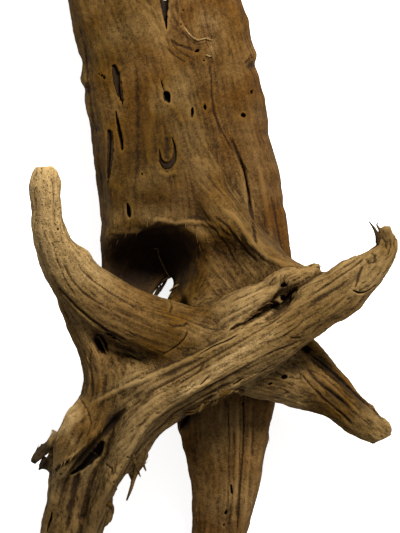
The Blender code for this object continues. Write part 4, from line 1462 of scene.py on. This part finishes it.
def makeStrands(top, material):
    corners, pairs, facts = [], [], []
    for number, (pale, dark, path, *lying) in enumerate(strands + fringeStrands()):
        level = topHeight(top, path[0][:2], 2)
        if level < rods["lowestRoot"]:
            continue
        # a lying strand follows the wood below it, and another keeps to its root's level
        follows = any(lying)
        lowest = level - rods["sink"]
        levels = [max(topHeight(top, row[:2]), lowest) if follows else level for row in path]
        points = [(*placeAt(row[:2], base + row[2]), row[3]) for row, base in zip(path, levels)]
        rows, along = curveThrough(points, rods["step"])
        first = len(corners)
        corners += [tuple(row[:3] / 1000) for row in rows]
        pairs += [(first + k, first + k + 1) for k in range(len(rows) - 1)]
        start = rods["grainApart"] * number
        facts += [(max(row[3], rods["thinnest"]), pale, dark, start, s) for row, s in zip(rows, along)]
    data = bpy.data.meshes.new("splinterLines")
    data.from_pydata(corners, pairs, [])
    made = newObject("driftwoodSplinters", data)
    facts = np.array(facts)
    addAttribute(made, "radius", facts[:, 0])
    addAttribute(made, "bleachAndHighlight", facts[:, 1])
    addAttribute(made, "stainAndShade", facts[:, 2])
    addAttribute(made, "grainOne", facts[:, [3, 3, 4]])
    addAttribute(made, "openness", np.ones(len(facts)))
    addTree(made, strandTree(), {**splinters, "Material": material})
    return made


def makeFibres(wood, material):
    made = newObject("driftwoodFibres", wood.data.copy())
    addTree(made, fibreTree(), {**fibres, "Material": material})
    return made


def dress(piece, name):
    baked(piece)
    keepInside(piece)
    piece.data.name = name
    piece.data.shade_smooth()
    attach(piece, "root")
    log(f"{name}: {len(piece.data.polygons)} faces")


# The three pieces

def makeWood(frames, material):
    wood = rawSkin()
    log(f"raw skin {len(wood.data.vertices)} points")
    addRelief(wood, frames, material)
    log("relief")
    wearEnds(wood)
    carveMarks(wood)
    log("marks")
    uncut = cutHoles(wood)
    densePlaces = placesOf(wood)
    thinOut(wood)
    keepInside(wood)
    addSurfaceFacts(wood, frames, densePlaces, uncut)
    log("surface facts")
    for name in ("grainOne", "grainTwo", "grainMix", "reliefMask"):
        layer = wood.data.attributes.get(name)
        if layer and layer.domain == "POINT":
            wood.data.attributes.remove(layer)
    dress(makeFibres(wood, material), "driftwoodFibres")
    dress(makeStrands(topMap(densePlaces), material), "driftwoodSplinters")
    wood.name = "driftwoodGrown"
    wood.data.name = "driftwoodGrown"
    wood.vertex_groups.clear()
    wood.data.materials.clear()
    wood.data.materials.append(material)
    wood.data.shade_smooth()
    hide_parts("driftwood")
    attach(wood, "root")
    log(f"driftwoodGrown: {len(wood.data.polygons)} faces")


# Floor, light and camera

studio = {
    "floor": (0.88, 0.88, 0.87, 1),
    "floorSize": 6.0,        # metres, as all lengths here but the film's
    "floorRoughness": 0.9,
    "floorGlow": 0.85,       # only seen, it lights nothing
    "keyFrom": (0.55, 1.25, 1.60),
    "keyWatts": 74.0,
    "keySize": 0.50,
    "keyColour": (1.0, 0.97, 0.92),
    "keyAim": (0, 0, 0.05),
    "sky": 0.30,
    "film": 36,              # mm
}


def makeStudio():
    bpy.ops.mesh.primitive_plane_add(size=studio["floorSize"], location=(0, 0, 0))
    floor = bpy.context.object
    floor.name = "studioFloor"
    material = bpy.data.materials.new("plainFloor")
    material.use_nodes = True
    tree = material.node_tree
    shader = tree.nodes["Principled BSDF"]
    shader.inputs["Base Color"].default_value = studio["floor"]
    shader.inputs["Roughness"].default_value = studio["floorRoughness"]
    shader.inputs["Emission Color"].default_value = (1, 1, 1, 1)
    seen = addNode(tree, "ShaderNodeLightPath").outputs["Is Camera Ray"]
    tree.links.new(addMath(tree, "MULTIPLY", seen, studio["floorGlow"]), shader.inputs["Emission Strength"])
    floor.data.materials.append(material)
    floor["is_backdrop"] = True

    key = bpy.data.lights.new("key", "AREA")
    key.energy = studio["keyWatts"]
    key.size = studio["keySize"]
    key.color = studio["keyColour"]
    lamp = newObject("key", key)
    lamp.location = studio["keyFrom"]
    lamp.rotation_euler = (Vector(studio["keyAim"]) - lamp.location).to_track_quat("-Z", "Y").to_euler()

    world = bpy.data.worlds.new("studio")
    bpy.context.scene.world = world
    world.use_nodes = True
    sky = world.node_tree.nodes["Background"]
    sky.inputs["Color"].default_value = (1, 1, 1, 1)
    sky.inputs["Strength"].default_value = studio["sky"]
    bpy.context.scene.view_settings.view_transform = "Standard"

    lens = bpy.data.cameras.new("camera")
    lens.sensor_width = studio["film"]
    span = photo["height"] * photo["mmPerPixel"]
    lens.lens = studio["film"] * (photo["cameraHeight"] - photo["middleHeight"]) / span
    eye = newObject("camera", lens)
    eye.location = (photo["aim"][0] / 1000, photo["aim"][1] / 1000, photo["cameraHeight"] / 1000)
    bpy.context.scene.camera = eye


makeStudio()
log("studio")
makeWood(limbFrames(), rootWood())

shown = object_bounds()
log(f"cad {[round(v * 1000, 1) for corner in cadBox for v in corner]}")
log(f"visual {[round(v * 1000, 1) for corner in shown for v in corner]}")
